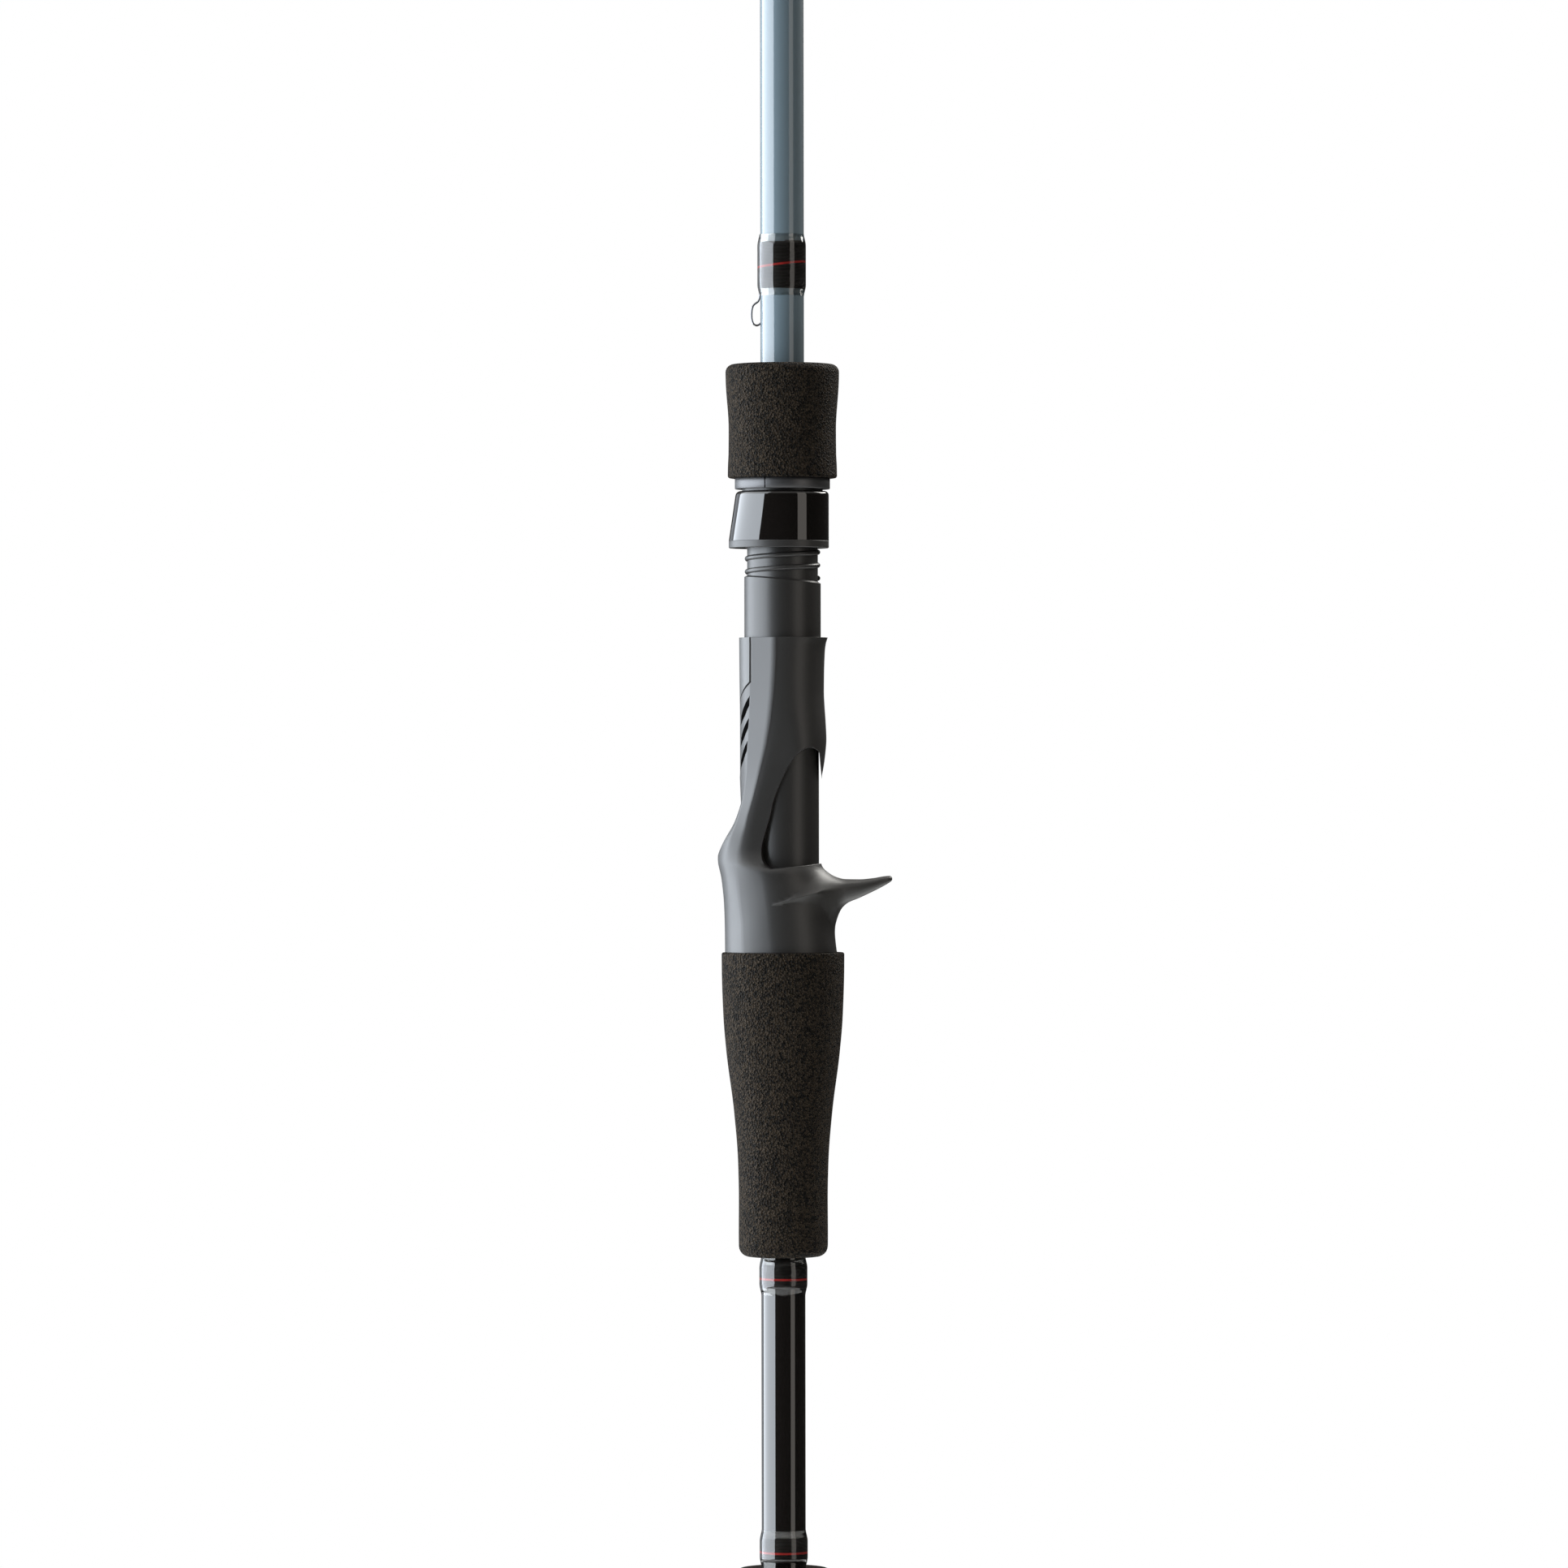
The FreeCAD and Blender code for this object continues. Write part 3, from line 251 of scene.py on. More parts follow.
low_z, high_z = heights("rear_grip")
rear_profile = [(168, 10.9), (174, 10.98), (183, 10.94), (192, 11.13), (204, 12.06), (219, 13.96),
                (228, 14.7), (240, 15.08), (244, 15.1)]
rear_bore = [(TUBE_RADIUS, high_z), (TUBE_RADIUS, low_z)]
rear_grip = lathe("rear_grip_foam", grip_outline(
    low_z, high_z, rear_profile, round_low=2.6, round_high=0.5, bore=rear_bore))
fit(rear_grip, foam, "eva_foam", "rod", "rear_grip")

low_z, high_z = heights("butt_grip")
BUTT_GRIP_RADIUS = 12.5
butt_profile = [(low_z, BUTT_GRIP_RADIUS), (high_z, BUTT_GRIP_RADIUS)]
butt_bore = [(TUBE_RADIUS, high_z), (TUBE_RADIUS, low_z)]
butt_grip = lathe("butt_grip_foam", grip_outline(
    low_z, high_z, butt_profile, round_low=0.3, round_high=2.6, bore=butt_bore))
fit(butt_grip, foam, "eva_foam", "rod", "butt_grip")

low_z, high_z = heights("foregrip")
SLEEVE_RADIUS = 11.0
SLEEVE_TOP = 371.0
BARREL_ROOM = 9.7
LIP_BORE = 5.9
LIP_LOW = 385.0
fore_profile = [(360, 13.45), (363, 13.4), (366, 13.25), (372, 13.2), (384, 13.93), (388, 14.0)]
fore_bore = [(LIP_BORE, high_z), (LIP_BORE, LIP_LOW), (BARREL_ROOM, LIP_LOW), (BARREL_ROOM, SLEEVE_TOP),
             (SLEEVE_RADIUS, SLEEVE_TOP), (SLEEVE_RADIUS, low_z)]
foregrip = lathe("foregrip_foam", grip_outline(
    low_z, high_z, fore_profile, round_low=0.6, round_high=2.0, bore=fore_bore))
fit(foregrip, foam, "eva_foam", "nut", "foregrip")


# ---- Butt cap ------------------------------------------------------------------------------
# A moulded rubber cup glued over the end of the butt grip, so that the rod can be stood on it.


def paint(node, material):
    """Gives its material to a CAD node that is kept as it is."""
    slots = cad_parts[node].data.materials
    slots.clear()
    slots.append(material)


# natural rubber, moulded: matt black with a faint grey bloom
rubber = finish("moulded_rubber_black", {
    "Base Color": colour("#171615"), "Roughness": 0.7, "Specular IOR Level": 0.35})
paint("butt_cap", rubber)


# ---- Reel seat body ------------------------------------------------------------------------
# The fixed part of the reel seat: one moulding of glass-filled nylon with a fixed rear hood, a
# finger trigger and a window on the trigger side that bares the barrel it is glued to.
SEAT_LOW, SEAT_HIGH = heights("seat_shell")
BARREL_RADIUS = 9.4
BARREL_LOWER_RADIUS = 8.9
BARREL_STEP = 296.0
BARREL_FOOT = 262.0
BARREL_BORE = 7.5
ROW_STEP = 0.6
SIDE = 40.0
BELLY = [(243.4, 13.3), (249.4, 12.8), (255.4, 12.4), (261.4, 10.9), (263.2, 10.4), (264.4, 9.6),
         (266.0, 9.2), (275.9, 9.3), (281.9, 9.4), (286.4, 9.6), (289.0, 10.05), (292.4, 10.5),
         (295.7, 10.75), (300.4, 10.55), (304.0, 10.3), (307.4, 10.15), (312.0, 10.2), (317.4, 10.4),
         (319.3, 10.65), (320.8, 11.1)]
CREASE_X = [(243.4, -7.3), (249.4, -7.6), (255.4, -8.2), (261.4, -8.8), (265.4, -9.6), (268.0, -9.9),
            (270.4, -9.7), (275.9, -8.7), (281.9, -7.1), (288.4, -5.4), (294.4, -3.9), (300.4, -2.9),
            (309.4, -1.9), (318.4, -1.5), (320.8, -1.5)]
CREASE_Y = [(243.4, 11.6), (249.4, 11.5), (255.4, 11.2), (261.4, 10.9), (264.4, 11.0), (267.4, 11.1),
            (270.4, 10.9), (275.9, 10.2), (281.9, 10.0), (288.4, 10.1), (300.4, 10.5), (320.8, 10.6)]
EDGE_X = [(243.4, -11.6), (249.4, -11.6), (255.4, -12.2), (261.4, -13.0), (266.4, -13.8), (270.4, -13.2),
          (275.9, -11.2), (281.9, -9.6), (288.4, -8.9), (294.4, -8.6), (300.4, -8.3), (309.4, -8.0),
          (318.4, -7.8), (320.8, -7.7)]
EDGE_Y = [(243.4, 8.2), (255.4, 7.8), (261.4, 7.6), (266.4, 7.4), (270.4, 7.4), (275.9, 7.4), (281.9, 7.1),
          (288.4, 6.7), (294.4, 6.5), (300.4, 6.45), (309.4, 6.5), (318.4, 6.6), (320.8, 6.7)]
SADDLE = [(243.4, 14.25), (249.4, 14.3), (255.4, 14.5), (261.4, 15.1), (266.4, 16.0), (270.4, 15.5),
          (275.9, 12.8), (281.9, 11.0), (288.4, 10.5), (300.4, 10.5), (309.4, 10.6), (320.8, 10.7)]
EDGE_SOFTNESS = [(243.4, 2.2), (263.0, 2.0), (267.0, 1.2), (271.0, 0.5), (278.0, 0.22), (320.8, 0.18)]
FLANK_BULGE = [(243.4, 0.6), (258.0, 0.55), (266.0, 0.25), (276.0, 0.0), (320.8, 0.0)]
SIDE_LIMIT = [(243.4, 18.0), (256.0, 18.0), (261.0, 15.5), (263.5, 12.9), (266.0, 10.5), (269.0, 9.6),
              (273.0, 9.35), (288.0, 9.4), (295.0, 9.9), (303.0, 10.4), (320.8, 10.7)]
LIMIT_SHARPNESS = 4.0
LIMIT_FROM = 4.0
LIMIT_MARGIN = 0.1
BELLY_STEPS = 30
SADDLE_STEPS = 20


def arc(start, middle, steps):
    """Points on the arc from (x, y) over (middle, 0) to (x, -y), without its last point."""
    x, y = start
    reach = middle - x
    hub = x + (reach ** 2 - y ** 2) / (2 * reach)
    radius = middle - hub
    first = math.atan2(y, (x - hub) * math.copysign(1, radius))
    turns = [first * (1 - 2 * k) for k in steps]
    return [(hub + radius * math.cos(a), abs(radius) * math.sin(a)) for a in turns]


def held_in(y, limit):
    """Half width held within a limit by a soft shoulder, so that the side facing outwards is nearly flat."""
    soft = math.exp(-LIMIT_SHARPNESS * abs(y)) + math.exp(-LIMIT_SHARPNESS * limit)
    return math.copysign(-math.log(soft) / LIMIT_SHARPNESS, y) if abs(y) > LIMIT_FROM else y


def spread(near, steps):
    """Shares of a curve: each end, a point close to it, and even steps between."""
    return [0.0, near] + [near + (1 - 2 * near) * k / steps for k in range(1, steps)] + [1 - near]


def seat_outline(z):
    """One cross section of the seat: saddle, flank, belly and flank, as (x, y) points round the rod."""
    limit = through(SIDE_LIMIT, z)
    crease = (through(CREASE_X, z), min(limit - LIMIT_MARGIN, through(CREASE_Y, z)))
    edge = (through(EDGE_X, z), through(EDGE_Y, z))
    soft = through(EDGE_SOFTNESS, z)
    flank = math.dist(crease, edge)
    near = soft / flank
    shares = [0.0, near, 0.25 + near / 2, 0.5, 0.75 - near / 2, 1 - near]
    run_x, run_y = edge[0] - crease[0], edge[1] - crease[1]
    bulge = 4 * through(FLANK_BULGE, z) / flank
    down = []
    for t in shares:
        swell = bulge * t * (1 - t)
        down.append((crease[0] + run_x * t + run_y * swell, crease[1] + run_y * t - run_x * swell))
    belly_shares = [1 - t for t in spread(soft / BELLY_STEPS, BELLY_STEPS)]
    belly = [(x, held_in(y, limit)) for x, y in arc(crease, through(BELLY, z), belly_shares)]
    saddle = arc(edge, -through(SADDLE, z), spread(soft / SADDLE_STEPS, SADDLE_STEPS))
    up = [(x, -y) for x, y in reversed(down[1:])] + [(crease[0], -crease[1])]
    return belly + down + saddle + [(edge[0], -edge[1])] + up[:-1]


def seat_body(name, shift=0.0):
    """The seat's outer form as a closed solid."""
    shape = bmesh.new()
    count = round((SEAT_HIGH - SEAT_LOW) / ROW_STEP)
    rows = []
    for k in range(count + 1):
        z = SEAT_LOW + (SEAT_HIGH - SEAT_LOW) * k / count
        rows.append([shape.verts.new(Vector((x + shift, y, z)) * MM) for x, y in seat_outline(z)])
    skin(shape, rows)
    return settle(name, shape)


def cut(piece, tool, operation="DIFFERENCE"):
    """Cuts a piece with a tool, or joins or crosses them; the tool is used up."""
    modifier = piece.modifiers.new("cut", "BOOLEAN")
    modifier.object = tool
    modifier.operation = operation
    modifier.solver = "EXACT"
    graph = bpy.context.evaluated_depsgraph_get()
    piece.data = bpy.data.meshes.new_from_object(piece.evaluated_get(graph))
    piece.modifiers.clear()
    bpy.data.objects.remove(tool)


def prism(name, corners, way):
    """A closed prism: corners in mm, pushed along a vector."""
    shape = bmesh.new()
    base = shape.faces.new([shape.verts.new(Vector(c) * MM) for c in corners])
    pushed = bmesh.ops.extrude_face_region(shape, geom=[base])
    ends = [part for part in pushed["geom"] if isinstance(part, bmesh.types.BMVert)]
    bmesh.ops.translate(shape, vec=Vector(way) * MM, verts=ends)
    return settle(name, shape)


def smooth_points(corners, closeness=8):
    """Points on a smooth curve through corners, for an edge that was cut along a curve."""
    points = []
    count = len(corners)
    for k in range(count - 1):
        before, here = Vector(corners[max(0, k - 1)]), Vector(corners[k])
        there, beyond = Vector(corners[k + 1]), Vector(corners[min(count - 1, k + 2)])
        for j in range(closeness):
            t = j / closeness
            points.append(0.5 * (2 * here + (there - before) * t
                                 + (2 * before - 5 * here + 4 * there - beyond) * t ** 2
                                 + (3 * here - before - 3 * there + beyond) * t ** 3))
    return points + [Vector(corners[-1])]


# finger trigger: lens-shaped sections with a ridge on each side (reach, top, ridge, underside, half width)
TRIGGER = [(-2.5, 262.0, 255.1, 249.0, 13.25), (0.0, 262.7, 255.8, 248.0, 13.42),
           (2.0, 263.5, 256.5, 247.5, 13.28), (5.0, 265.3, 257.3, 246.0, 12.4),
           (8.65, 265.3, 258.2, 245.5, 10.1), (10.6, 263.3, 258.6, 246.0, 8.3),
           (12.4, 262.2, 258.85, 248.0, 6.9), (13.2, 261.9, 258.95, 251.4, 6.4),
           (14.0, 261.6, 259.05, 253.6, 5.9), (15.5, 261.4, 259.2, 255.3, 5.2),
           (18.9, 261.35, 259.6, 256.8, 4.2), (22.3, 261.65, 260.3, 258.4, 3.4),
           (25.0, 262.1, 261.0, 259.8, 2.6), (26.3, 262.2, 261.4, 260.6, 1.9),
           (26.7, 262.0, 261.43, 260.9, 1.4), (26.88, 261.7, 261.45, 261.2, 0.8)]
LENS_POWER = [(-2.5, 0.86), (9.0, 0.72), (14.0, 0.4), (27.0, 0.35)]
RIDGE_LIP = [(-2.5, 0.1), (1.0, 0.25), (12.0, 0.28), (22.0, 0.0)]
REACH_STEPS = 80
LENS_COLUMNS = 22
FILLET = 4.2
FILLET_START = 3.0
FILLET_ONSET = 4.0
FILLET_TOP = 274.0
FILLET_EDGE = 0.7
RIDGE_KEPT = 1.2
RIDGE_END = 20.0
SMOOTHING_PASSES = 30

seat = seat_body("seat_moulding")
shape = bmesh.new()
rows = []
for k in range(REACH_STEPS + 1):
    x = TRIGGER[0][0] + (TRIGGER[-1][0] - TRIGGER[0][0]) * math.sin(math.pi / 2 * k / REACH_STEPS)
    top, ridge, underside, half_width = [
        through([(row[0], row[column]) for row in TRIGGER], x) for column in (1, 2, 3, 4)]
    lens = []
    fullness = through(LENS_POWER, x)
    for j in range(LENS_COLUMNS + 1):
        across = -math.cos(math.pi * j / LENS_COLUMNS)
        lip = through(RIDGE_LIP, x) * across if j in (0, LENS_COLUMNS) else 0.0
        lens.append((half_width * across + lip, max(0.0, 1 - across ** 2) ** fullness))
    ring = [(y, ridge + (top - ridge) * rise) for y, rise in lens]
    ring += [(y, ridge + (underside - ridge) * rise) for y, rise in reversed(lens[1:-1])]
    rows.append([shape.verts.new(Vector((x, y, height)) * MM) for y, height in ring])
skin(shape, rows)
trigger = settle("trigger", shape)

# the trigger's root runs into the body in a fillet
body_tree, trigger_tree = [
    BVHTree.FromPolygons([v.co for v in mesh.vertices], [list(p.vertices) for p in mesh.polygons])
    for mesh in (seat.data, trigger.data)]
cut(seat, trigger, "UNION")
shape = bmesh.new()
shape.from_mesh(seat.data)


def fillet_weight(place):
    """1 where body and trigger meet, falling to 0 at the fillet's edge."""
    apart = max(body_tree.find_nearest(place)[3], trigger_tree.find_nearest(place)[3])
    ridge = through([(row[0], row[2]) for row in TRIGGER], place.x / MM)
    off_ridge = min(1.0, abs(place.z / MM - ridge) / RIDGE_KEPT) if place.x < RIDGE_END * MM else 1.0
    onset = min(1.0, max(0.0, (place.x / MM - FILLET_START) / FILLET_ONSET))
    return max(0.0, 1 - apart / (FILLET * MM)) * off_ridge * onset


near = [e for e in shape.edges if e.verts[0].co.x > FILLET_START * MM and e.calc_length() > FILLET_EDGE * MM
        and SEAT_LOW < e.verts[0].co.z / MM < FILLET_TOP and fillet_weight(e.verts[0].co) > 0]
bmesh.ops.subdivide_edges(shape, edges=near, cuts=1)
bmesh.ops.triangulate(shape, faces=[f for f in shape.faces if len(f.verts) > 4])
weights = {}
for vert in shape.verts:
    if vert.co.x > FILLET_START * MM and SEAT_LOW + 0.01 < vert.co.z / MM < FILLET_TOP:
        weight = fillet_weight(vert.co)
        if weight > 0:
            weights[vert] = weight
for _ in range(SMOOTHING_PASSES):
    moved = {}
    for vert, weight in weights.items():
        around = [e.other_vert(vert).co for e in vert.link_edges]
        middle = sum(around, Vector()) / len(around)
        moved[vert] = vert.co.lerp(middle, 0.5 * weight)
    for vert, place in moved.items():
        vert.co = place
shape.to_mesh(seat.data)
shape.free()

# bore for the barrel
SEAT_FIT = 0.02
lower_bore = BARREL_LOWER_RADIUS + SEAT_FIT
upper_bore = BARREL_RADIUS + SEAT_FIT
bore = [(BARREL_BORE, SEAT_LOW - 1), (BARREL_BORE, BARREL_FOOT), (lower_bore, BARREL_FOOT),
        (lower_bore, BARREL_STEP), (upper_bore, BARREL_STEP), (upper_bore, SEAT_HIGH + 1)]
cut(seat, lathe("bore", bore, bored=False))

# window with the tongue left standing
WINDOW_EDGE = [(9.9, 291.2), (8.9, 292.6), (7.9, 293.4), (6.6, 293.8), (5.4, 293.5), (4.3, 292.8),
               (2.9, 291.4), (1.5, 289.4), (0.1, 286.6), (-1.5, 282.8), (-2.4, 280.2), (-3.0, 277.4),
               (-4.0, 274.0), (-5.0, 270.3), (-5.2, 268.2), (-4.95, 266.6),
               (-4.35, 265.4), (-3.5, 264.5), (-2.5, 264.0)]
WINDOW_INNER = 7.3
WINDOW_OUTSIDE = [(8.9, 265.2), (12.0, 265.2), (12.0, 291.0)]
WINDOW_LEAN = 0.2
WINDOW_LAP = 0.1
WINDOW_SIDE = 6.0
rim = [(v.x, v.y) for v in smooth_points([(x, z, 0) for x, z in WINDOW_EDGE])]
rim += WINDOW_OUTSIDE
window = prism("window", [(x, -WINDOW_INNER, z) for x, z in rim], (0, 2 * WINDOW_INNER, 0))
tongue_edge = [(4.7, 297.0), (4.6, 292.0), (3.9, 289.2), (2.4, 286.6), (1.2, 285.6), (0.0, 285.3)]
tongue_edge += [(-y, z) for y, z in reversed(tongue_edge[:-1])]
TONGUE_LEAN = 0.09
TONGUE_HINGE = 293.5
tongue = prism("tongue", [
    (BARREL_LOWER_RADIUS + (TONGUE_HINGE - z) * TONGUE_LEAN, y, z) for y, z in tongue_edge], (SIDE, 0, 0))
cut(window, tongue)
cut(seat, window)
# its sides slope outwards, so that the rim stands hardly proud of the barrel
lean = WINDOW_LEAN * (BARREL_RADIUS - WINDOW_INNER)
for side in (-1, 1):
    sloped = prism("window_side", [(x + lean, side * (WINDOW_INNER - WINDOW_LAP), z) for x, z in rim],
                   (-WINDOW_SIDE * WINDOW_LEAN, side * WINDOW_SIDE, 0))
    cut(seat, sloped)

# horseshoe mouth and the pocket under the rear hood, for the back of a reel's foot
SADDLE_FLOOR = 10.2
HOOD_ROOF = 1.2
FOOT_HALF_WIDTH = 6.2
POCKET_LOW = 255.0
POCKET_LENGTH = 16.0
FLOOR_LEVEL_TO = 277.0
FLOOR_RISE = 0.5
MOUTH_HIGH = 290.0


def foot_space(half_width, low_z, length):
    """A block of room for an end of a reel's foot, on the reel side."""
    corners = [(-SIDE, -half_width), (0, -half_width), (0, half_width), (-SIDE, half_width)]
    return prism("room", [(x, y, low_z) for x, y in corners], (0, 0, length))


mouth = [(-3.6, 289.6), (-5.4, 286.0), (-6.3, 281.0), (-6.2, 276.0), (-4.6, 270.5), (0.0, 267.2)]
mouth += [(-y, z) for y, z in reversed(mouth[:-1])]
mouth_edge = [(-SIDE, v.x, v.y) for v in smooth_points([(y, z, 0) for y, z in mouth])]
pocket = prism("mouth", mouth_edge, (SIDE, 0, 0))
under_roof = seat_body("under_roof", HOOD_ROOF)
cut(under_roof, foot_space(FOOT_HALF_WIDTH, POCKET_LOW, POCKET_LENGTH), "INTERSECT")
cut(pocket, under_roof, "UNION")
saddle_floor = [(SADDLE_FLOOR, SEAT_LOW - 1), (SADDLE_FLOOR, FLOOR_LEVEL_TO),
                (SADDLE_FLOOR + FLOOR_RISE, MOUTH_HIGH)]
cut(pocket, lathe("floor", saddle_floor, bored=False))
cut(seat, pocket)

# recess for the saddle strip and the slanting slits beside it
STRIP_FLOOR = 9.95
STRIP_HALF_WIDTH = 6.65
STRIP_SHOULDER = 309.6
STRIP_POINT = 304.0
STRIP_HIGH = 322.0
V_SLOPE = 0.6
JOINT = 0.42
CUT_FROM = 6.0
CUT_DEPTH = 10.0
PLUG_HIGH = 330.0


def strip_room(name, inset):
    """The strip's place in the saddle, down to its V-shaped end, taken in by an inset."""
    half = STRIP_HALF_WIDTH - inset
    shoulder = STRIP_SHOULDER + V_SLOPE * inset
    outline = [(-half, STRIP_HIGH), (-half, shoulder), (0.0, STRIP_POINT + inset), (half, shoulder),
               (half, STRIP_HIGH)]
    return prism(name, [(-CUT_FROM, y, z) for y, z in outline], (-CUT_DEPTH, 0, 0))


def plug(radius, low_z):
    """A round plug that keeps a cut from going deeper than a radius."""
    return lathe("plug", [(radius, low_z), (radius, PLUG_HIGH)], bored=False)


strip = seat_body("saddle_strip")
cut(strip, strip_room("strip_side", JOINT), "INTERSECT")
cut(strip, plug(STRIP_FLOOR, 290.0))
recess = strip_room("recess", 0.0)
cut(recess, plug(STRIP_FLOOR, 290.0))
cut(seat, recess)
SLIT_FLOOR = 9.45
SLIT = [(6.5, 0.2), (6.4, -2.2), (4.8, -4.8), (2.0, -7.2), (2.6, -4.7), (4.4, -2.4)]
SLIT_STARTS = ((306.2, 0.0), (300.8, 0.05), (295.2, 0.1))
for start, taken_in in SLIT_STARTS:
    for side in (-1, 1):
        corners = [(-CUT_FROM, side * (y - taken_in), start + drop) for y, drop in SLIT]
        slit = prism("slit", corners, (-CUT_DEPTH, 0, 0))
        cut(slit, plug(SLIT_FLOOR, 280.0))
        cut(seat, slit)


DOUBLES_WITHIN = 0.002


def dress(piece, sharp=30):
    """Cleans a cut piece: merged doubles, outward faces, smooth except at real edges."""
    shape = bmesh.new()
    shape.from_mesh(piece.data)
    bmesh.ops.remove_doubles(shape, verts=shape.verts, dist=DOUBLES_WITHIN * MM)
    bmesh.ops.recalc_face_normals(shape, faces=shape.faces)
    shape.to_mesh(piece.data)
    shape.free()
    shade(piece.data, sharp)


# glass-filled nylon, moulded and lightly blasted: black with a broad satin shine
nylon = finish("moulded_nylon_black", {
    "Base Color": colour("#191817"), "Roughness": 0.44, "Specular IOR Level": 0.5})
# its moulded edges are rounded to about a quarter of a millimetre
EDGE_ROUND = 0.25
rounded = add(nylon.node_tree, "ShaderNodeBevel", {"samples": 6}, {"Radius": EDGE_ROUND * MM})
nylon.node_tree.links.new(rounded.outputs["Normal"], shader_of(nylon).inputs["Normal"])
dress(seat, 55)
fit(seat, nylon, "seat_composite", "rod", "seat_shell")
# painted shade: the slit floors and walls, and the strip recess floor at the joint beside them, get a
# near-black matt finish that stands for the shade in these recesses
slit_painted_shade = finish("painted_shade_slits", {
    "Base Color": colour("#060606"), "Roughness": 0.9, "Specular IOR Level": 0.1})
SLITS_LOW = 286.0
SLITS_HIGH = 307.0
SHADE_PAINTED_UP_TO = 10.25
seat.data.materials.append(slit_painted_shade)
# faces beside the strip, between these heights and below this radius, take the painted shade
for face in seat.data.polygons:
    x, y, z = face.center / MM
    beside_strip = x < -CUT_FROM and abs(y) < SLIT[0][0]
    if beside_strip and SLITS_LOW < z < SLITS_HIGH and math.hypot(x, y) < SHADE_PAINTED_UP_TO:
        face.material_index = 1

# satin acetal strip, moulded with a fine texture: duller and greyer than the seat
acetal = finish("moulded_acetal_grey", {
    "Base Color": colour("#2b2b2a"), "Roughness": 0.42, "Specular IOR Level": 0.5})
dress(strip)
fit(strip, acetal, "strip_satin", "rod", "saddle_insert")


# ---- Seat barrel ---------------------------------------------------------------------------
# The moulded nylon tube that carries the whole seat: plain below, with a coarse right-hand thread
# for the lock nut in front and a keyway on the far side that keeps the moving hood straight.
THREAD_CREST = 9.3
THREAD_ROOT = 8.7
THREAD_PITCH = 3.2
THREAD_LOW = 335.4
THREAD_HALF_WIDTH = 0.62
THREAD_STOPS_SHORT = 1.0
KEYWAY = 2.4
KEYWAY_FLOOR = 8.1
KEYWAY_LOW = 321.0
SHOULDER_LEAN = 0.85
BARREL_LOW, BARREL_HIGH = heights("seat_barrel")


def grow(name, tree, sizes, path=None):
    """Runs a Geometry Nodes tree on a path, sets its named inputs, and keeps the result as a plain mesh."""
    mesh = bpy.data.meshes.new(name)
    if path:
        points, edges = path
        mesh.from_pydata([Vector(p) * MM for p in points], edges, [])
    piece = bpy.data.objects.new(name, mesh)
    bpy.context.collection.objects.link(piece)
    modifier = piece.modifiers.new(name, "NODES")
    modifier.node_group = tree
    for item in tree.interface.items_tree:
        if item.item_type == "SOCKET" and item.in_out == "INPUT" and item.name in sizes:
            modifier[item.identifier] = sizes[item.name]
    graph = bpy.context.evaluated_depsgraph_get()
    piece.data = bpy.data.meshes.new_from_object(piece.evaluated_get(graph))
    piece.modifiers.clear()
    shape = bmesh.new()
    shape.from_mesh(piece.data)
    bmesh.ops.recalc_face_normals(shape, faces=shape.faces)
    shape.to_mesh(piece.data)
    shape.free()
    return piece


def new_tree(name, lengths=(), counts=()):
    """An empty Geometry Nodes tree with named inputs, a path in and a mesh out."""
    tree = bpy.data.node_groups.new(name, "GeometryNodeTree")
    tree.interface.new_socket("Path", in_out="INPUT", socket_type="NodeSocketGeometry")
    for length in lengths:
        tree.interface.new_socket(length, in_out="INPUT", socket_type="NodeSocketFloat")
    for count in counts:
        tree.interface.new_socket(count, in_out="INPUT", socket_type="NodeSocketInt")
    tree.interface.new_socket("Finish", in_out="INPUT", socket_type="NodeSocketMaterial")
    tree.interface.new_socket("Mesh", in_out="OUTPUT", socket_type="NodeSocketGeometry")
    return tree, tree.nodes.new("NodeGroupInput").outputs


def close_tree(tree, mesh, inputs):
    """Ends a tree in Realize Instances and Set Material."""
    real = add(tree, "GeometryNodeRealizeInstances", {}, {"Geometry": mesh})
    smooth = add(tree, "GeometryNodeSetShadeSmooth", {}, {"Geometry": real.outputs[0]})
    painted = add(tree, "GeometryNodeSetMaterial", {}, {
        "Geometry": smooth.outputs[0], "Material": inputs["Finish"]})
    out = tree.nodes.new("NodeGroupOutput")
    tree.links.new(painted.outputs[0], out.inputs[0])


# thread tree: an oval ridge swept along a helix and sunk to half its height
thread_tree, inputs = new_tree("screw_thread", (
    "Start", "Length", "Pitch", "Root radius", "Height", "Half width"))
turns = add(thread_tree, "ShaderNodeMath", {"operation": "DIVIDE"}, {0: inputs["Length"], 1: inputs["Pitch"]})
helix = add(thread_tree, "GeometryNodeCurveSpiral", {}, {
    "Resolution": 96, "Rotations": turns.outputs[0], "Start Radius": inputs["Root radius"],
    "End Radius": inputs["Root radius"], "Height": inputs["Length"], "Reverse": True})
lift = add(thread_tree, "ShaderNodeCombineXYZ", {}, {"Z": inputs["Start"]})
placed = add(thread_tree, "GeometryNodeTransform", {}, {
    "Geometry": helix.outputs[0], "Translation": lift.outputs[0]})
upright = add(thread_tree, "GeometryNodeSetCurveNormal", {"mode": "Z_UP"}, {"Curve": placed.outputs[0]})
ring = add(thread_tree, "GeometryNodeCurvePrimitiveCircle", {}, {"Resolution": 20, "Radius": 1.0})
oval = add(thread_tree, "ShaderNodeCombineXYZ", {}, {
    "X": inputs["Height"], "Y": inputs["Half width"], "Z": 1.0})
profile = add(thread_tree, "GeometryNodeTransform", {}, {
    "Geometry": ring.outputs[0], "Scale": oval.outputs[0]})
ridge = add(thread_tree, "GeometryNodeCurveToMesh", {}, {
    "Curve": upright.outputs[0], "Profile Curve": profile.outputs[0], "Fill Caps": True})
close_tree(thread_tree, ridge.outputs[0], inputs)

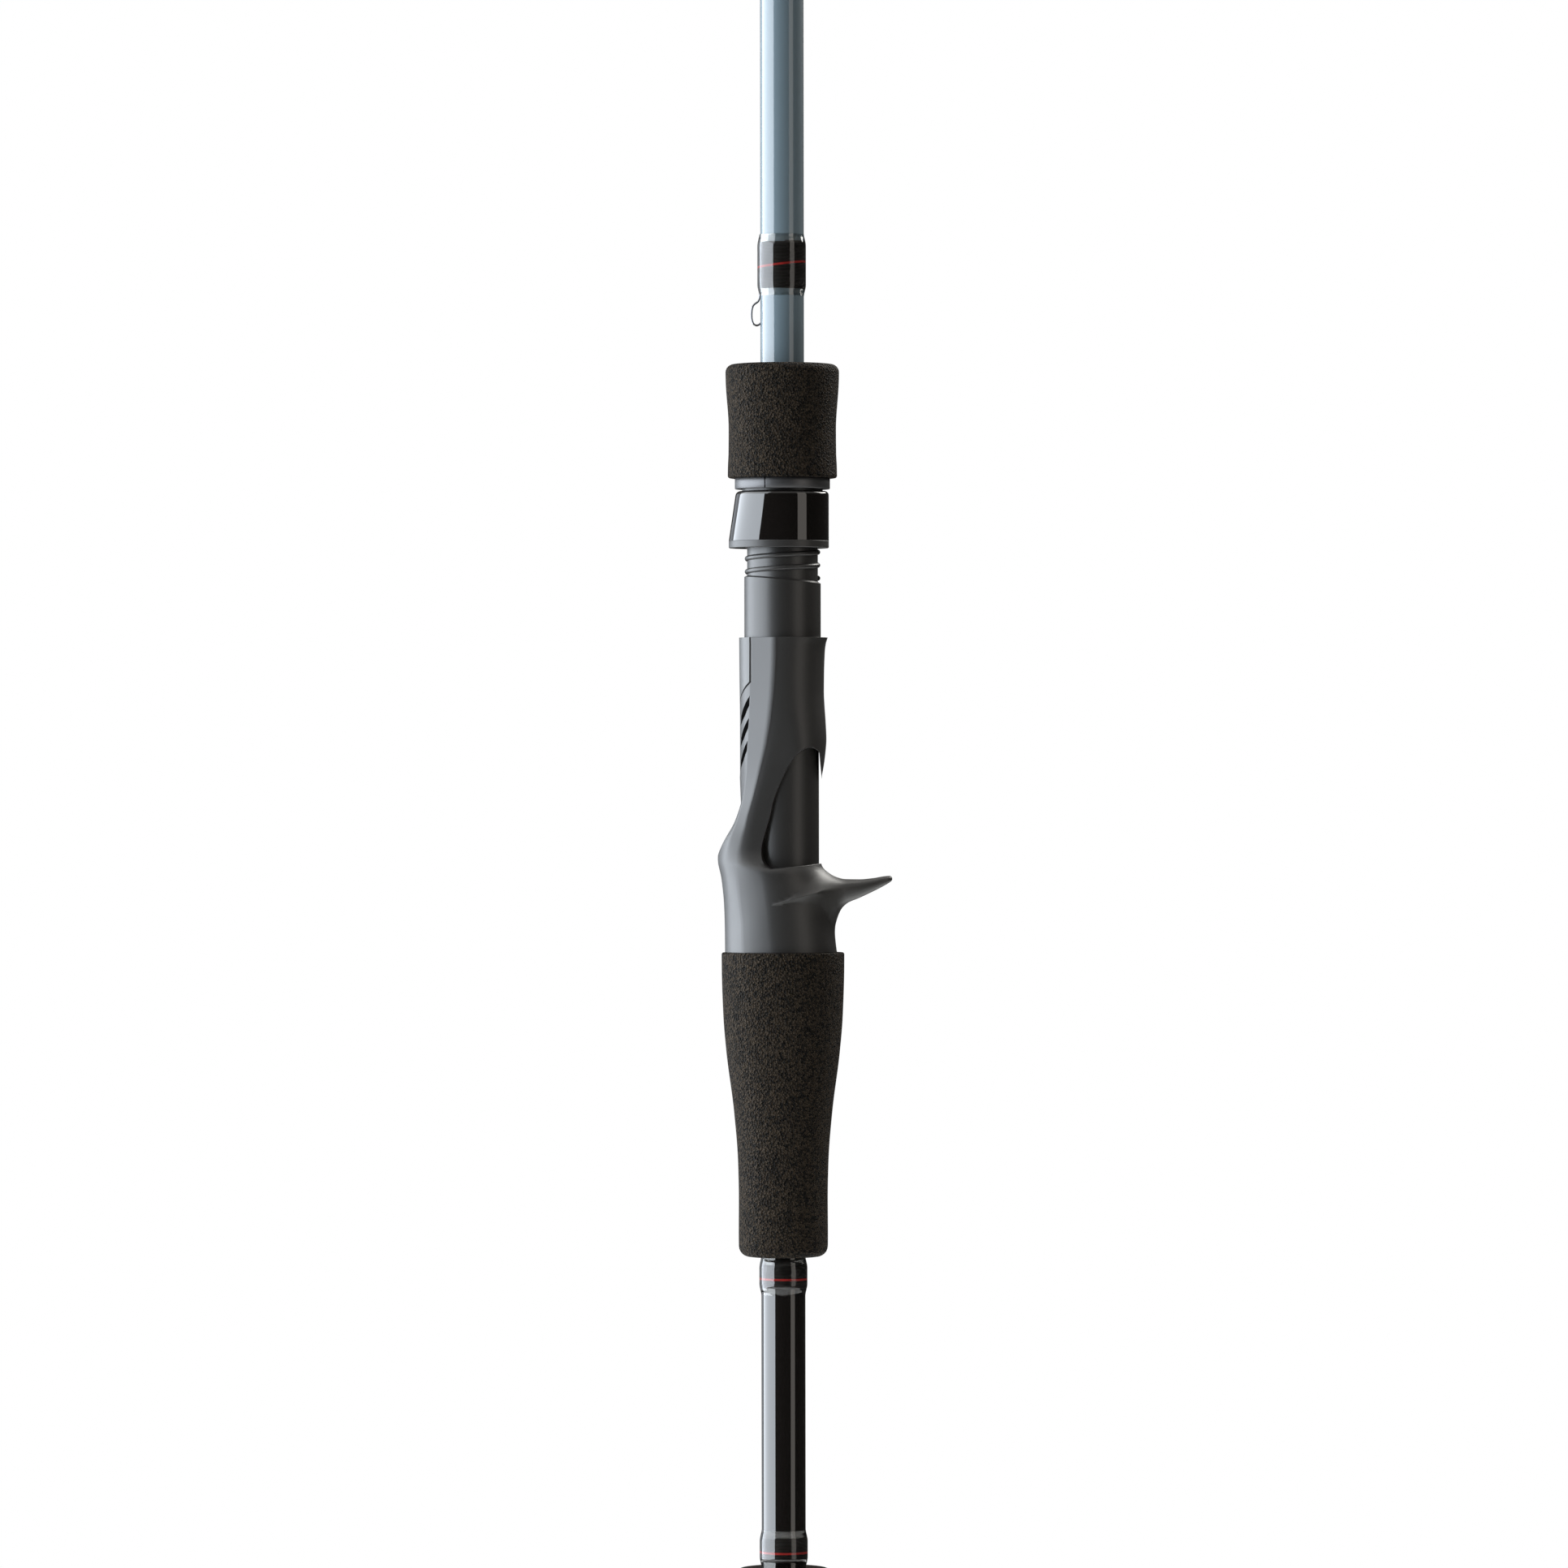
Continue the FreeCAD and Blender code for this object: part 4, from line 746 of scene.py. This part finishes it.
# the same nylon, off a polished tool: smoother than the seat body
barrel_nylon = finish("polished_nylon_black", {
    "Base Color": colour("#191817"), "Roughness": 0.4, "Specular IOR Level": 0.45})
barrel = grow("seat_barrel_threaded", thread_tree, {
    "Start": THREAD_LOW * MM, "Length": (BARREL_HIGH - THREAD_STOPS_SHORT - THREAD_LOW) * MM,
    "Pitch": THREAD_PITCH * MM,
    "Root radius": THREAD_ROOT * MM, "Height": (THREAD_CREST - THREAD_ROOT) * MM,
    "Half width": THREAD_HALF_WIDTH * MM, "Finish": barrel_nylon})
core = lathe("barrel_core", [
    (BARREL_LOWER_RADIUS, BARREL_LOW), (BARREL_LOWER_RADIUS, BARREL_STEP), (BARREL_RADIUS, BARREL_STEP),
    (BARREL_RADIUS, THREAD_LOW - 0.5), (THREAD_ROOT, THREAD_LOW - 0.1), (THREAD_ROOT, BARREL_HIGH),
    (BARREL_BORE, BARREL_HIGH), (BARREL_BORE, BARREL_LOW)], sides=192)
# the first thread runs out into a shoulder that is higher on the reel side
for vert in core.data.vertices:
    if THREAD_LOW - 0.6 < vert.co.z / MM < THREAD_LOW:
        vert.co.z -= SHOULDER_LEAN * vert.co.x / BARREL_RADIUS
key_slot = [(x, y, KEYWAY_LOW) for x, y in (
    (-KEYWAY / 2, KEYWAY_FLOOR), (KEYWAY / 2, KEYWAY_FLOOR), (KEYWAY / 2, 12.0), (-KEYWAY / 2, 12.0))]
cut(core, prism("keyway", key_slot, (0, 0, 60)))
cut(barrel, prism("keyway", key_slot, (0, 0, 60)))


def join(piece, other):
    """Adds another piece's mesh to this one."""
    shape = bmesh.new()
    shape.from_mesh(piece.data)
    shape.from_mesh(other.data)
    shape.to_mesh(piece.data)
    shape.free()
    bpy.data.objects.remove(other)


join(barrel, core)
shade(barrel.data)
fit(barrel, barrel_nylon, "seat_composite", "rod", "seat_barrel")


# ---- Moving hood ---------------------------------------------------------------------------
# Slides on the barrel and clamps the front of a reel's foot: a satin nylon carrier under a gloss
# black cover, both fuller on the reel side, where the foot goes in.
HOOD_LOW, HOOD_HIGH = heights("hood_liner")
COVER_LOW = heights("moving_hood")[0]
HOOD_RADIUS = 11.4
HOOD_BULGE = 1.8
COVER_ROUND = 1.0
COVER_WALL = 0.4
COVER_ROWS = 12
HOOD_SIDES = 160
MOUTH_BAND = 1.8


def hood_fullness(angle, z):
    """Extra reach on the reel side, growing from the top down to the mouth."""
    rise = (HOOD_HIGH - z) / (HOOD_HIGH - HOOD_LOW - MOUTH_BAND)
    return HOOD_BULGE * min(1.0, max(0.0, rise)) * max(0.0, -math.cos(angle)) ** 2


cover_reach = HOOD_HIGH - COVER_ROUND - COVER_LOW
wall = [(HOOD_RADIUS, COVER_LOW + cover_reach * k / COVER_ROWS) for k in range(COVER_ROWS + 1)]
top = [(HOOD_RADIUS - COVER_ROUND * (1 - math.cos(a)), HOOD_HIGH - COVER_ROUND * (1 - math.sin(a)))
       for a in [math.radians(15 * k) for k in range(1, 7)]]
top_inside = HOOD_RADIUS - COVER_ROUND - 0.1
inner = [(top_inside, HOOD_HIGH), (top_inside, HOOD_HIGH - 0.3),
         (HOOD_RADIUS - COVER_WALL, HOOD_HIGH - COVER_ROUND), (HOOD_RADIUS - COVER_WALL, COVER_LOW)]
cover = lathe("hood_cover", wall + top + inner, reach=hood_fullness, sides=HOOD_SIDES)
fit(cover, black_enamel, "black_gloss", "hood", "moving_hood")

# the carrier slides on the thread's crest and holds the lock nut's flange in a groove
LIP_EDGE = 0.15
CARRIER_BORE = 9.7
NECK_BORE = 10.15
FLANGE_ROOM = 10.55
FLANGE_LOW = 353.3
FLANGE_HIGH = 355.8
under_cover = HOOD_RADIUS - COVER_WALL - 0.02
top_land = HOOD_RADIUS - COVER_ROUND - 0.15
carrier = lathe("hood_carrier", [
    (CARRIER_BORE, HOOD_LOW), (HOOD_RADIUS - LIP_EDGE, HOOD_LOW), (HOOD_RADIUS, HOOD_LOW + LIP_EDGE),
    (HOOD_RADIUS, COVER_LOW - 0.03), (under_cover, COVER_LOW - 0.02), (under_cover, HOOD_HIGH - COVER_ROUND),
    (top_land, HOOD_HIGH - 0.35), (top_land, HOOD_HIGH - 0.1), (NECK_BORE, HOOD_HIGH - 0.1),
    (NECK_BORE, FLANGE_HIGH), (FLANGE_ROOM, FLANGE_HIGH), (FLANGE_ROOM, FLANGE_LOW),
    (CARRIER_BORE, FLANGE_LOW)], reach=hood_fullness, sides=HOOD_SIDES)
FOOT_ROOM = 10.4
FOOT_ROOM_HIGH = 351.8
FOOT_ROOM_HALF_WIDTH = 6.4
foot_room = lathe("foot_room", [(FOOT_ROOM, HOOD_LOW - 1), (FOOT_ROOM, FOOT_ROOM_HIGH)], bored=False,
                  reach=hood_fullness)
cut(foot_room, foot_space(FOOT_ROOM_HALF_WIDTH, 340, 20), "INTERSECT")
cut(carrier, foot_room)
dress(carrier)
fit(carrier, nylon, "seat_composite", "hood", "hood_liner")


# ---- Lock nut and retaining ring -----------------------------------------------------------
# The nut is a threaded nylon sleeve under the front grip; a spring ring, split at one side,
# snaps into its groove and shows as a satin band between the hood and the foam.
RING_LOW, RING_HIGH = heights("retaining_ring")
RING_EDGE = 0.15
RING_BORE = 10.4
RING_OUTSIDE = 11.7
SPLIT = 0.28
SPLIT_ANGLE = math.radians(248.4)
split_ring = lathe("split_ring", [
    (RING_BORE, RING_LOW), (RING_OUTSIDE - RING_EDGE, RING_LOW), (RING_OUTSIDE, RING_LOW + RING_EDGE),
    (RING_OUTSIDE, RING_HIGH - RING_EDGE), (RING_OUTSIDE - RING_EDGE, RING_HIGH), (RING_BORE, RING_HIGH)],
    sharp=60)
across = Vector((-math.sin(SPLIT_ANGLE), math.cos(SPLIT_ANGLE), 0)) * SPLIT / 2
along = Vector((math.cos(SPLIT_ANGLE), math.sin(SPLIT_ANGLE), 0))
below = Vector((0, 0, RING_LOW - 1))
gap = [along * reach + side * across + below for reach, side in ((9, -1), (9, 1), (14, 1), (14, -1))]
cut(split_ring, prism("split", gap, (0, 0, 6)))
dress(split_ring, 60)
# anodised aluminium, bead blasted: dark grey with a soft metallic sheen
ring_anodised = finish("anodised_aluminium_grey", {
    "Base Color": colour("#4a4a4b"), "Metallic": 0.8, "Roughness": 0.42})
fit(split_ring, ring_anodised, "ring_satin", "nut", "retaining_ring")
paint("lock_nut", barrel_nylon)


# ---- Bushes and splice ---------------------------------------------------------------------
# Hidden inside the seat: two foamed bushes that centre the blank, and the carbon spigot that
# joins blank and handle tube. They are seen only if the seat is opened.
# rigid polyurethane foam, turned: pale and dull
bush_foam = finish("turned_polyurethane_foam", {"Base Color": colour("#b9ab8c"), "Roughness": 0.9})
# bare carbon laminate: dark grey with a dull shine
carbon = finish("carbon_laminate_bare", {"Base Color": colour("#202124"), "Roughness": 0.5})
for node, material in (("arbor_front", bush_foam), ("arbor_rear", bush_foam), ("splice_spigot", carbon)):
    paint(node, material)


# ---- Thread wrappings ----------------------------------------------------------------------
# Size A nylon thread wound tightly round the blank and the handle tube, with a few turns of red
# trim, under a brushed-on coat of clear epoxy that runs out thinly beyond both ends.
THREAD_THICKNESS = 0.26
COAT_RISE = 0.5
COAT_FULL = 0.9
COAT_ENDS = [(0.0, 0.02), (0.6, 0.11), (1.3, 0.28)]
COAT_SUNK = 0.02
COAT_ROWS = 60
TRIM_TURNS = 2
TRIM_SUNK = 0.1
TRIM_LEANS = {"keeper": 0.13, "rear": 0.0, "butt": 0.0}
FEET_UNDER = {"keeper": 0.22, "rear": 0.0, "butt": 0.0}
FOOT_NARROWNESS = 5.0
STRAND_SHARE = 0.52

# wrapping tree: one thread wound in a close spiral, lifted where it crosses a foot underneath
winding_tree, inputs = new_tree("thread_winding", (
    "Start", "Length", "Radius", "End radius", "Thread thickness", "Foot height"))
turns = add(winding_tree, "ShaderNodeMath", {"operation": "DIVIDE"},
            {0: inputs["Length"], 1: inputs["Thread thickness"]})
spiral = add(winding_tree, "GeometryNodeCurveSpiral", {}, {
    "Resolution": 48, "Rotations": turns.outputs[0], "Start Radius": inputs["Radius"],
    "End Radius": inputs["End radius"], "Height": inputs["Length"], "Reverse": False})
lift = add(winding_tree, "ShaderNodeCombineXYZ", {}, {"Z": inputs["Start"]})
placed = add(winding_tree, "GeometryNodeTransform", {}, {
    "Geometry": spiral.outputs[0], "Translation": lift.outputs[0]})
where = add(winding_tree, "GeometryNodeInputPosition").outputs[0]
flat = add(winding_tree, "ShaderNodeVectorMath", {"operation": "MULTIPLY"}, {0: where, 1: (1.0, 1.0, 0.0)})
outward = add(winding_tree, "ShaderNodeVectorMath", {"operation": "NORMALIZE"}, {0: flat.outputs[0]})
facing = add(winding_tree, "ShaderNodeVectorMath", {"operation": "DOT_PRODUCT"}, {
    0: outward.outputs[0], 1: (-1.0, 0.0, 0.0)})
front = add(winding_tree, "ShaderNodeMath", {"operation": "MAXIMUM"}, {0: facing.outputs["Value"], 1: 0.0})
near_foot = add(winding_tree, "ShaderNodeMath", {"operation": "POWER"}, {
    0: front.outputs[0], 1: FOOT_NARROWNESS})
rise = add(winding_tree, "ShaderNodeMath", {"operation": "MULTIPLY"}, {
    0: near_foot.outputs[0], 1: inputs["Foot height"]})
push = add(winding_tree, "ShaderNodeVectorMath", {"operation": "SCALE"}, {
    0: outward.outputs[0], "Scale": rise.outputs[0]})
laid = add(winding_tree, "GeometryNodeSetPosition", {}, {
    "Geometry": placed.outputs[0], "Offset": push.outputs[0]})
half = add(winding_tree, "ShaderNodeMath", {"operation": "MULTIPLY"}, {
    0: inputs["Thread thickness"], 1: STRAND_SHARE})
strand = add(winding_tree, "GeometryNodeCurvePrimitiveCircle", {}, {
    "Resolution": 8, "Radius": half.outputs[0]})
wound = add(winding_tree, "GeometryNodeCurveToMesh", {}, {
    "Curve": laid.outputs[0], "Profile Curve": strand.outputs[0], "Fill Caps": True})
close_tree(winding_tree, wound.outputs[0], inputs)

# nylon thread soaked in epoxy: black with a faint brown cast
black_thread = finish("nylon_thread_black", {
    "Base Color": colour("#0d0806"), "Roughness": 0.45, "Specular IOR Level": 0.3})
# the same thread in red, for the trim turns
red_thread = finish("nylon_thread_red", {
    "Base Color": colour("#a3201c"), "Roughness": 0.45, "Specular IOR Level": 0.3})
# two-part epoxy, brushed on and levelled: clear, glassy
epoxy = finish("clear_epoxy_coat", {
    "Base Color": colour("#fbfaf6"), "Roughness": 0.02, "IOR": 1.5, "Transmission Weight": 1.0})


def wind(name, low, high, radii, material, foot=0.0):
    """A wrapping from one height to another, on the radius at each of them, in mm."""
    start_radius, end_radius = [(radius + THREAD_THICKNESS / 2) * MM for radius in radii]
    return grow(name, winding_tree, {
        "Start": low * MM, "Length": (high - low) * MM, "Radius": start_radius, "End radius": end_radius,
        "Thread thickness": THREAD_THICKNESS * MM, "Foot height": foot * MM, "Finish": material})


def over_foot(foot):
    """How far a coat stands out round the rod, over a foot of this height on the reel side."""
    return lambda angle, z: foot * max(0.0, -math.cos(angle)) ** FOOT_NARROWNESS


for place, radius in (("keeper", BLANK_RADIUS), ("rear", TUBE_RADIUS), ("butt", TUBE_RADIUS)):
    low_z, high_z = heights(place + "_wrap")
    trim_low, trim_high = heights(place + "_wrap_trim")
    middle = 0.5 * (trim_low + trim_high)
    half_trim = 0.5 * TRIM_TURNS * THREAD_THICKNESS
    foot = FEET_UNDER[place]
    threads = wind(place + "_winding", low_z, high_z, (radius, radius), black_thread, foot)
    fit(threads, black_thread, "wrap_thread", "rod", place + "_wrap")
    trim = wind(place + "_trim_turns", middle - half_trim, middle + half_trim,
                (radius + TRIM_SUNK, radius + TRIM_SUNK), red_thread, foot)
    for vert in trim.data.vertices:
        vert.co.z += TRIM_LEANS[place] * vert.co.x
    fit(trim, red_thread, "trim_thread", "rod", place + "_wrap_trim")
    coat_low, coat_high = heights(place + "_wrap_coat")
    profile = [(coat_low + inset, rise) for inset, rise in COAT_ENDS]
    profile += [(low_z + COAT_FULL, COAT_RISE), (high_z - COAT_FULL, COAT_RISE)]
    profile += [(coat_high - inset, rise) for inset, rise in reversed(COAT_ENDS)]
    stations = [coat_low + (coat_high - coat_low) * k / COAT_ROWS for k in range(COAT_ROWS + 1)]
    outer = [(radius + through(profile, z), z) for z in stations]
    under = [(radius - COAT_SUNK, coat_high), (radius - COAT_SUNK, coat_low)]
    coat = lathe(place + "_epoxy_coat", outer + under, reach=over_foot(foot))
    fit(coat, epoxy, "epoxy_coat", "rod", place + "_wrap_coat")


# ---- Hook keeper ---------------------------------------------------------------------------
# A small loop of dark chromed steel wire that the hook is hung on; its flattened foot is bound
# to the blank under the front wrapping.
KEEPER_WIRE = 0.25
KEEPER_STEP = 0.12
wire_tree, inputs = new_tree("bent_wire", ("Wire radius", "Step"))
curve = add(wire_tree, "GeometryNodeMeshToCurve", {}, {"Mesh": inputs["Path"]})
bent = add(wire_tree, "GeometryNodeCurveSplineType", {"spline_type": "CATMULL_ROM"}, {
    "Curve": curve.outputs[0]})
even = add(wire_tree, "GeometryNodeResampleCurve", {"mode": "LENGTH"}, {
    "Curve": bent.outputs[0], "Length": inputs["Step"]})
round_wire = add(wire_tree, "GeometryNodeCurvePrimitiveCircle", {}, {
    "Resolution": 16, "Radius": inputs["Wire radius"]})
drawn = add(wire_tree, "GeometryNodeCurveToMesh", {}, {
    "Curve": even.outputs[0], "Profile Curve": round_wire.outputs[0], "Fill Caps": True})
close_tree(wire_tree, drawn.outputs[0], inputs)

# hard chrome over steel, dark: mirror bright, reflecting more dark than light
chrome = finish("dark_chromed_steel", {
    "Base Color": colour("#6d6c6e"), "Metallic": 1.0, "Roughness": 0.16})
keeper_path = [(-5.2, 0, 398.25), (-5.75, 0, 397.75), (-6.4, 0, 397.6), (-7.05, 0, 398.0), (-7.45, 0, 398.95),
               (-7.55, 0, 400.2), (-7.45, 0, 401.5), (-7.1, 0, 402.5), (-6.5, 0, 403.05), (-5.95, 0, 403.45),
               (-5.6, 0, 404.2), (-5.5, 0, 405.2), (-5.5, 0, 406.8), (-5.48, 0, 411.0), (-5.42, 0, 415.6)]
keeper_links = [(k, k + 1) for k in range(len(keeper_path) - 1)]
keeper = grow("hook_keeper_wire", wire_tree, {
    "Wire radius": KEEPER_WIRE * MM, "Step": KEEPER_STEP * MM, "Finish": chrome}, (keeper_path, keeper_links))
fit(keeper, chrome, "steel_smoke", "rod", "hook_keeper")


# ---- Line guides ---------------------------------------------------------------------------
# Seven guides and a tip-top stand on the reel side. Each has a ceramic ring pressed into a ring of
# steel, on legs of steel wire that end in flat feet, bound to the blank with coated thread.
LEG_WIRE = 0.55
LEG_STEP = 0.5
RIM_RADIUS = 0.32
RIM_HALF_WIDTH = 0.45
RIM_HALF_HEIGHT = 0.75
FOOT_RAISED = 0.3
FOOT_LENGTH = 9.0
FOOT_WIRE = 7.5
FOOT_COVER = 0.7
FOOT_ENDS_AT = 2.5
BARE_TOE = 1.4
SINGLE_FOOT_WITHIN = 3.0
ROOT = (0.75, 0.66)
KNEE = (0.25, 0.5, 0.55)
TOE_SPREAD = 0.55
END_SPREAD = 0.5
RING_WALLS = {"guide_1_ring": 1.5, "guide_2_ring": 1.25, "guide_3_ring": 1.2, "guide_4_ring": 1.1,
              "guide_5_ring": 1.0, "guide_6_ring": 0.9, "guide_7_ring": 0.9, "tip_top_ring": 0.9}
# aluminium oxide ceramic, polished: dense dark grey, glossy
ceramic = finish("polished_ceramic_grey", {
    "Base Color": colour("#2e3032"), "Roughness": 0.12, "IOR": 1.7})


def ceramic_ring(name, node):
    """Polished ring with rounded edges in the place of a CAD node's ring."""
    low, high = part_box(node)
    middle = (low + high) / 2 / MM
    outer = (high.y - low.y) / 2 / MM
    half = (high.z - low.z) / 2 / MM
    wall = RING_WALLS[node]
    turns = [2 * math.pi * k / 16 for k in range(16)]
    outline = [(outer - wall / 2 + wall / 2 * math.cos(a), middle.z + half * math.sin(a)) for a in turns]
    return lathe(name, outline, sides=64, centre=(middle.x, 0)), middle, outer


def leg(middle, rim, foot_radius, leg_reach, way, side):
    """Path of one leg: from the ring's holder over a knee to the toe, then along the foot."""
    knee_out = foot_radius + KNEE[0] * (abs(middle.x) - foot_radius)
    return [(middle.x + ROOT[0] * rim, side * ROOT[1] * rim, middle.z),
            (-knee_out, side * KNEE[1] * rim, middle.z + way * KNEE[2] * leg_reach),
            (-foot_radius, side * TOE_SPREAD, middle.z + way * leg_reach),
            (-foot_radius, side * END_SPREAD, middle.z + way * (leg_reach + FOOT_WIRE))]


for number in range(1, 8):
    ring, middle, outer = ceramic_ring(f"guide_{number}_ceramic", f"guide_{number}_ring")
    fit(ring, ceramic, "ceramic_ring", "rod", f"guide_{number}_ring")
    low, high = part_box(f"guide_{number}_frame")
    wrap_low, wrap_high = heights(f"guide_{number}_wrap")
    ways = [1] if low.z / MM > middle.z - SINGLE_FOOT_WITHIN else [-1, 1]
    rim = outer + RIM_RADIUS
    foot_radius = blank_radius(middle.z) + FOOT_RAISED
    leg_reach = (high.z / MM - middle.z) - FOOT_LENGTH
    points, edges = [], []
    for way in ways:
        for side in (-1, 1):
            path = leg(middle, rim, foot_radius, leg_reach, way, side)
            edges += [(len(points) + k, len(points) + k + 1) for k in range(len(path) - 1)]
            points += path
    legs = grow(f"guide_{number}_legs", wire_tree, {
        "Wire radius": LEG_WIRE * MM, "Step": LEG_STEP * MM, "Finish": chrome}, (points, edges))
    turns = [2 * math.pi * k / 12 for k in range(12)]
    rim_outline = [(rim + RIM_HALF_WIDTH * math.cos(a), middle.z + RIM_HALF_HEIGHT * math.sin(a))
                   for a in turns]
    join(legs, lathe("holder", rim_outline, sides=64, centre=(middle.x, 0)))
    legs.data.shade_smooth()
    fit(legs, chrome, "steel_smoke", "rod", f"guide_{number}_frame")
    spans = [(middle.z + leg_reach + BARE_TOE, high.z / MM + FOOT_ENDS_AT)]
    if len(ways) == 2:
        spans.insert(0, (low.z / MM - FOOT_ENDS_AT, middle.z - leg_reach - BARE_TOE))
    windings = []
    for span_low, span_high in spans:
        span_low, span_high = max(span_low, wrap_low), min(span_high, wrap_high)
        radii = (blank_radius(span_low), blank_radius(span_high))
        windings.append(wind(f"guide_{number}_winding", span_low, span_high, radii, black_thread, FOOT_COVER))
    threads = windings[0]
    for other in windings[1:]:
        join(threads, other)
    threads.data.shade_smooth()
    fit(threads, black_thread, "wrap_thread", "rod", f"guide_{number}_wrap")

ring, middle, outer = ceramic_ring("tip_ceramic", "tip_top_ring")
fit(ring, ceramic, "ceramic_ring", "rod", "tip_top_ring")
paint("tip_top_frame", chrome)
low_z, high_z = heights("tip_top_wrap")
tip_winding = wind("tip_winding", low_z, high_z, (blank_radius(low_z), blank_radius(high_z)), black_thread)
fit(tip_winding, black_thread, "wrap_thread", "rod", "tip_top_wrap")


# ---- Floor, light and camera ---------------------------------------------------------------
# A pale round floor under the butt and a dim room. Three soft panels light the reel side and a weak
# strip the trigger side, with one panel behind, so that the gloss pieces show clean edges of light.
FLOOR_RADIUS = 450.0
FLOOR_THICKNESS = 0.1
# matt wall paint: pale and even
floor_paint = finish("matt_floor_paint", {"Base Color": colour("#ececea"), "Roughness": 0.8})
floor = lathe("floor", [(FLOOR_RADIUS, -FLOOR_THICKNESS), (FLOOR_RADIUS, 0.0)], bored=False)
floor.data.materials.append(floor_paint)


def panel(name, centre, aim, width, height, radiance, fleck_glint_tone):
    """A soft light panel of a given brightness that faces a point."""
    light = bpy.data.lights.new(name, "AREA")
    light.shape = "RECTANGLE"
    light.size = width
    light.size_y = height
    light.energy = radiance * math.pi * width * height
    light.color = colour(fleck_glint_tone)[:3]
    lamp = bpy.data.objects.new(name, light)
    lamp.location = centre
    lamp.rotation_euler = (Vector(aim) - Vector(centre)).to_track_quat("-Z", "Y").to_euler()
    lamp.visible_camera = False
    bpy.context.collection.objects.link(lamp)


panel("key_panel", (-0.8, -0.1, 0.3), (0.0, -0.1, 0.3), 1.44, 0.84, 9.0, "#eef6ff")
panel("rear_key_panel", (-0.8, 1.12, 0.3), (0.0, 1.12, 0.3), 1.0, 0.84, 1.0, "#eef6ff")
panel("upper_panel", (-0.8, -0.2, 1.46), (0.0, -0.2, 1.46), 1.73, 1.48, 4.0, "#f4faff")
panel("side_strip", (0.62, -0.52, 0.4), (0.0, 0.0, 0.4), 0.34, 0.9, 1.5, "#fff8f0")
panel("back_panel", (0.5, 0.5, 0.85), (0.0, 0.0, 0.26), 0.55, 0.55, 8.0, "#fffdf8")

world = bpy.data.worlds.new("studio")
bpy.context.scene.world = world
world.use_nodes = True
tree = world.node_tree
tree.nodes.clear()
way = add(tree, "ShaderNodeTexCoord").outputs["Generated"]
split = add(tree, "ShaderNodeSeparateXYZ", {}, {"Vector": way})
height = add(tree, "ShaderNodeMapRange", {}, {"Value": split.outputs["Z"], "From Min": -1.0, "From Max": 1.0})
ramp = add(tree, "ShaderNodeValToRGB", {}, {"Fac": height.outputs[0]})
levels = [(0.0, 0.5), (0.2, 0.35), (0.36, 0.04), (0.62, 0.03), (0.78, 0.6), (1.0, 1.0)]
while len(ramp.color_ramp.elements) < len(levels):
    ramp.color_ramp.elements.new(0.5)
for element, (position, level) in zip(ramp.color_ramp.elements, levels):
    element.position = position
    element.color = (level, level * 0.97, level * 0.93, 1.0)
room = add(tree, "ShaderNodeBackground", {}, {"Color": ramp.outputs[0], "Strength": 1.0})
white = add(tree, "ShaderNodeBackground", {}, {"Color": (1, 1, 1, 1), "Strength": 1.0})
seen = add(tree, "ShaderNodeLightPath").outputs["Is Camera Ray"]
mixed = add(tree, "ShaderNodeMixShader", {}, {0: seen, 1: room.outputs[0], 2: white.outputs[0]})
add(tree, "ShaderNodeOutputWorld", {}, {"Surface": mixed.outputs[0]})

CAMERA_PLACE = (0.0003, -2.0, 0.2848)
CAMERA_LENS = 186.7
CAMERA_ROLL = 0.074
camera_data = bpy.data.cameras.new("camera")
camera_data.lens = CAMERA_LENS
camera_data.sensor_width = 36.0
camera = bpy.data.objects.new("camera", camera_data)
camera.location = CAMERA_PLACE
camera.rotation_euler = (math.radians(90), math.radians(CAMERA_ROLL), 0.0)
bpy.context.collection.objects.link(camera)
bpy.context.scene.camera = camera
bpy.context.scene.view_settings.view_transform = "Standard"
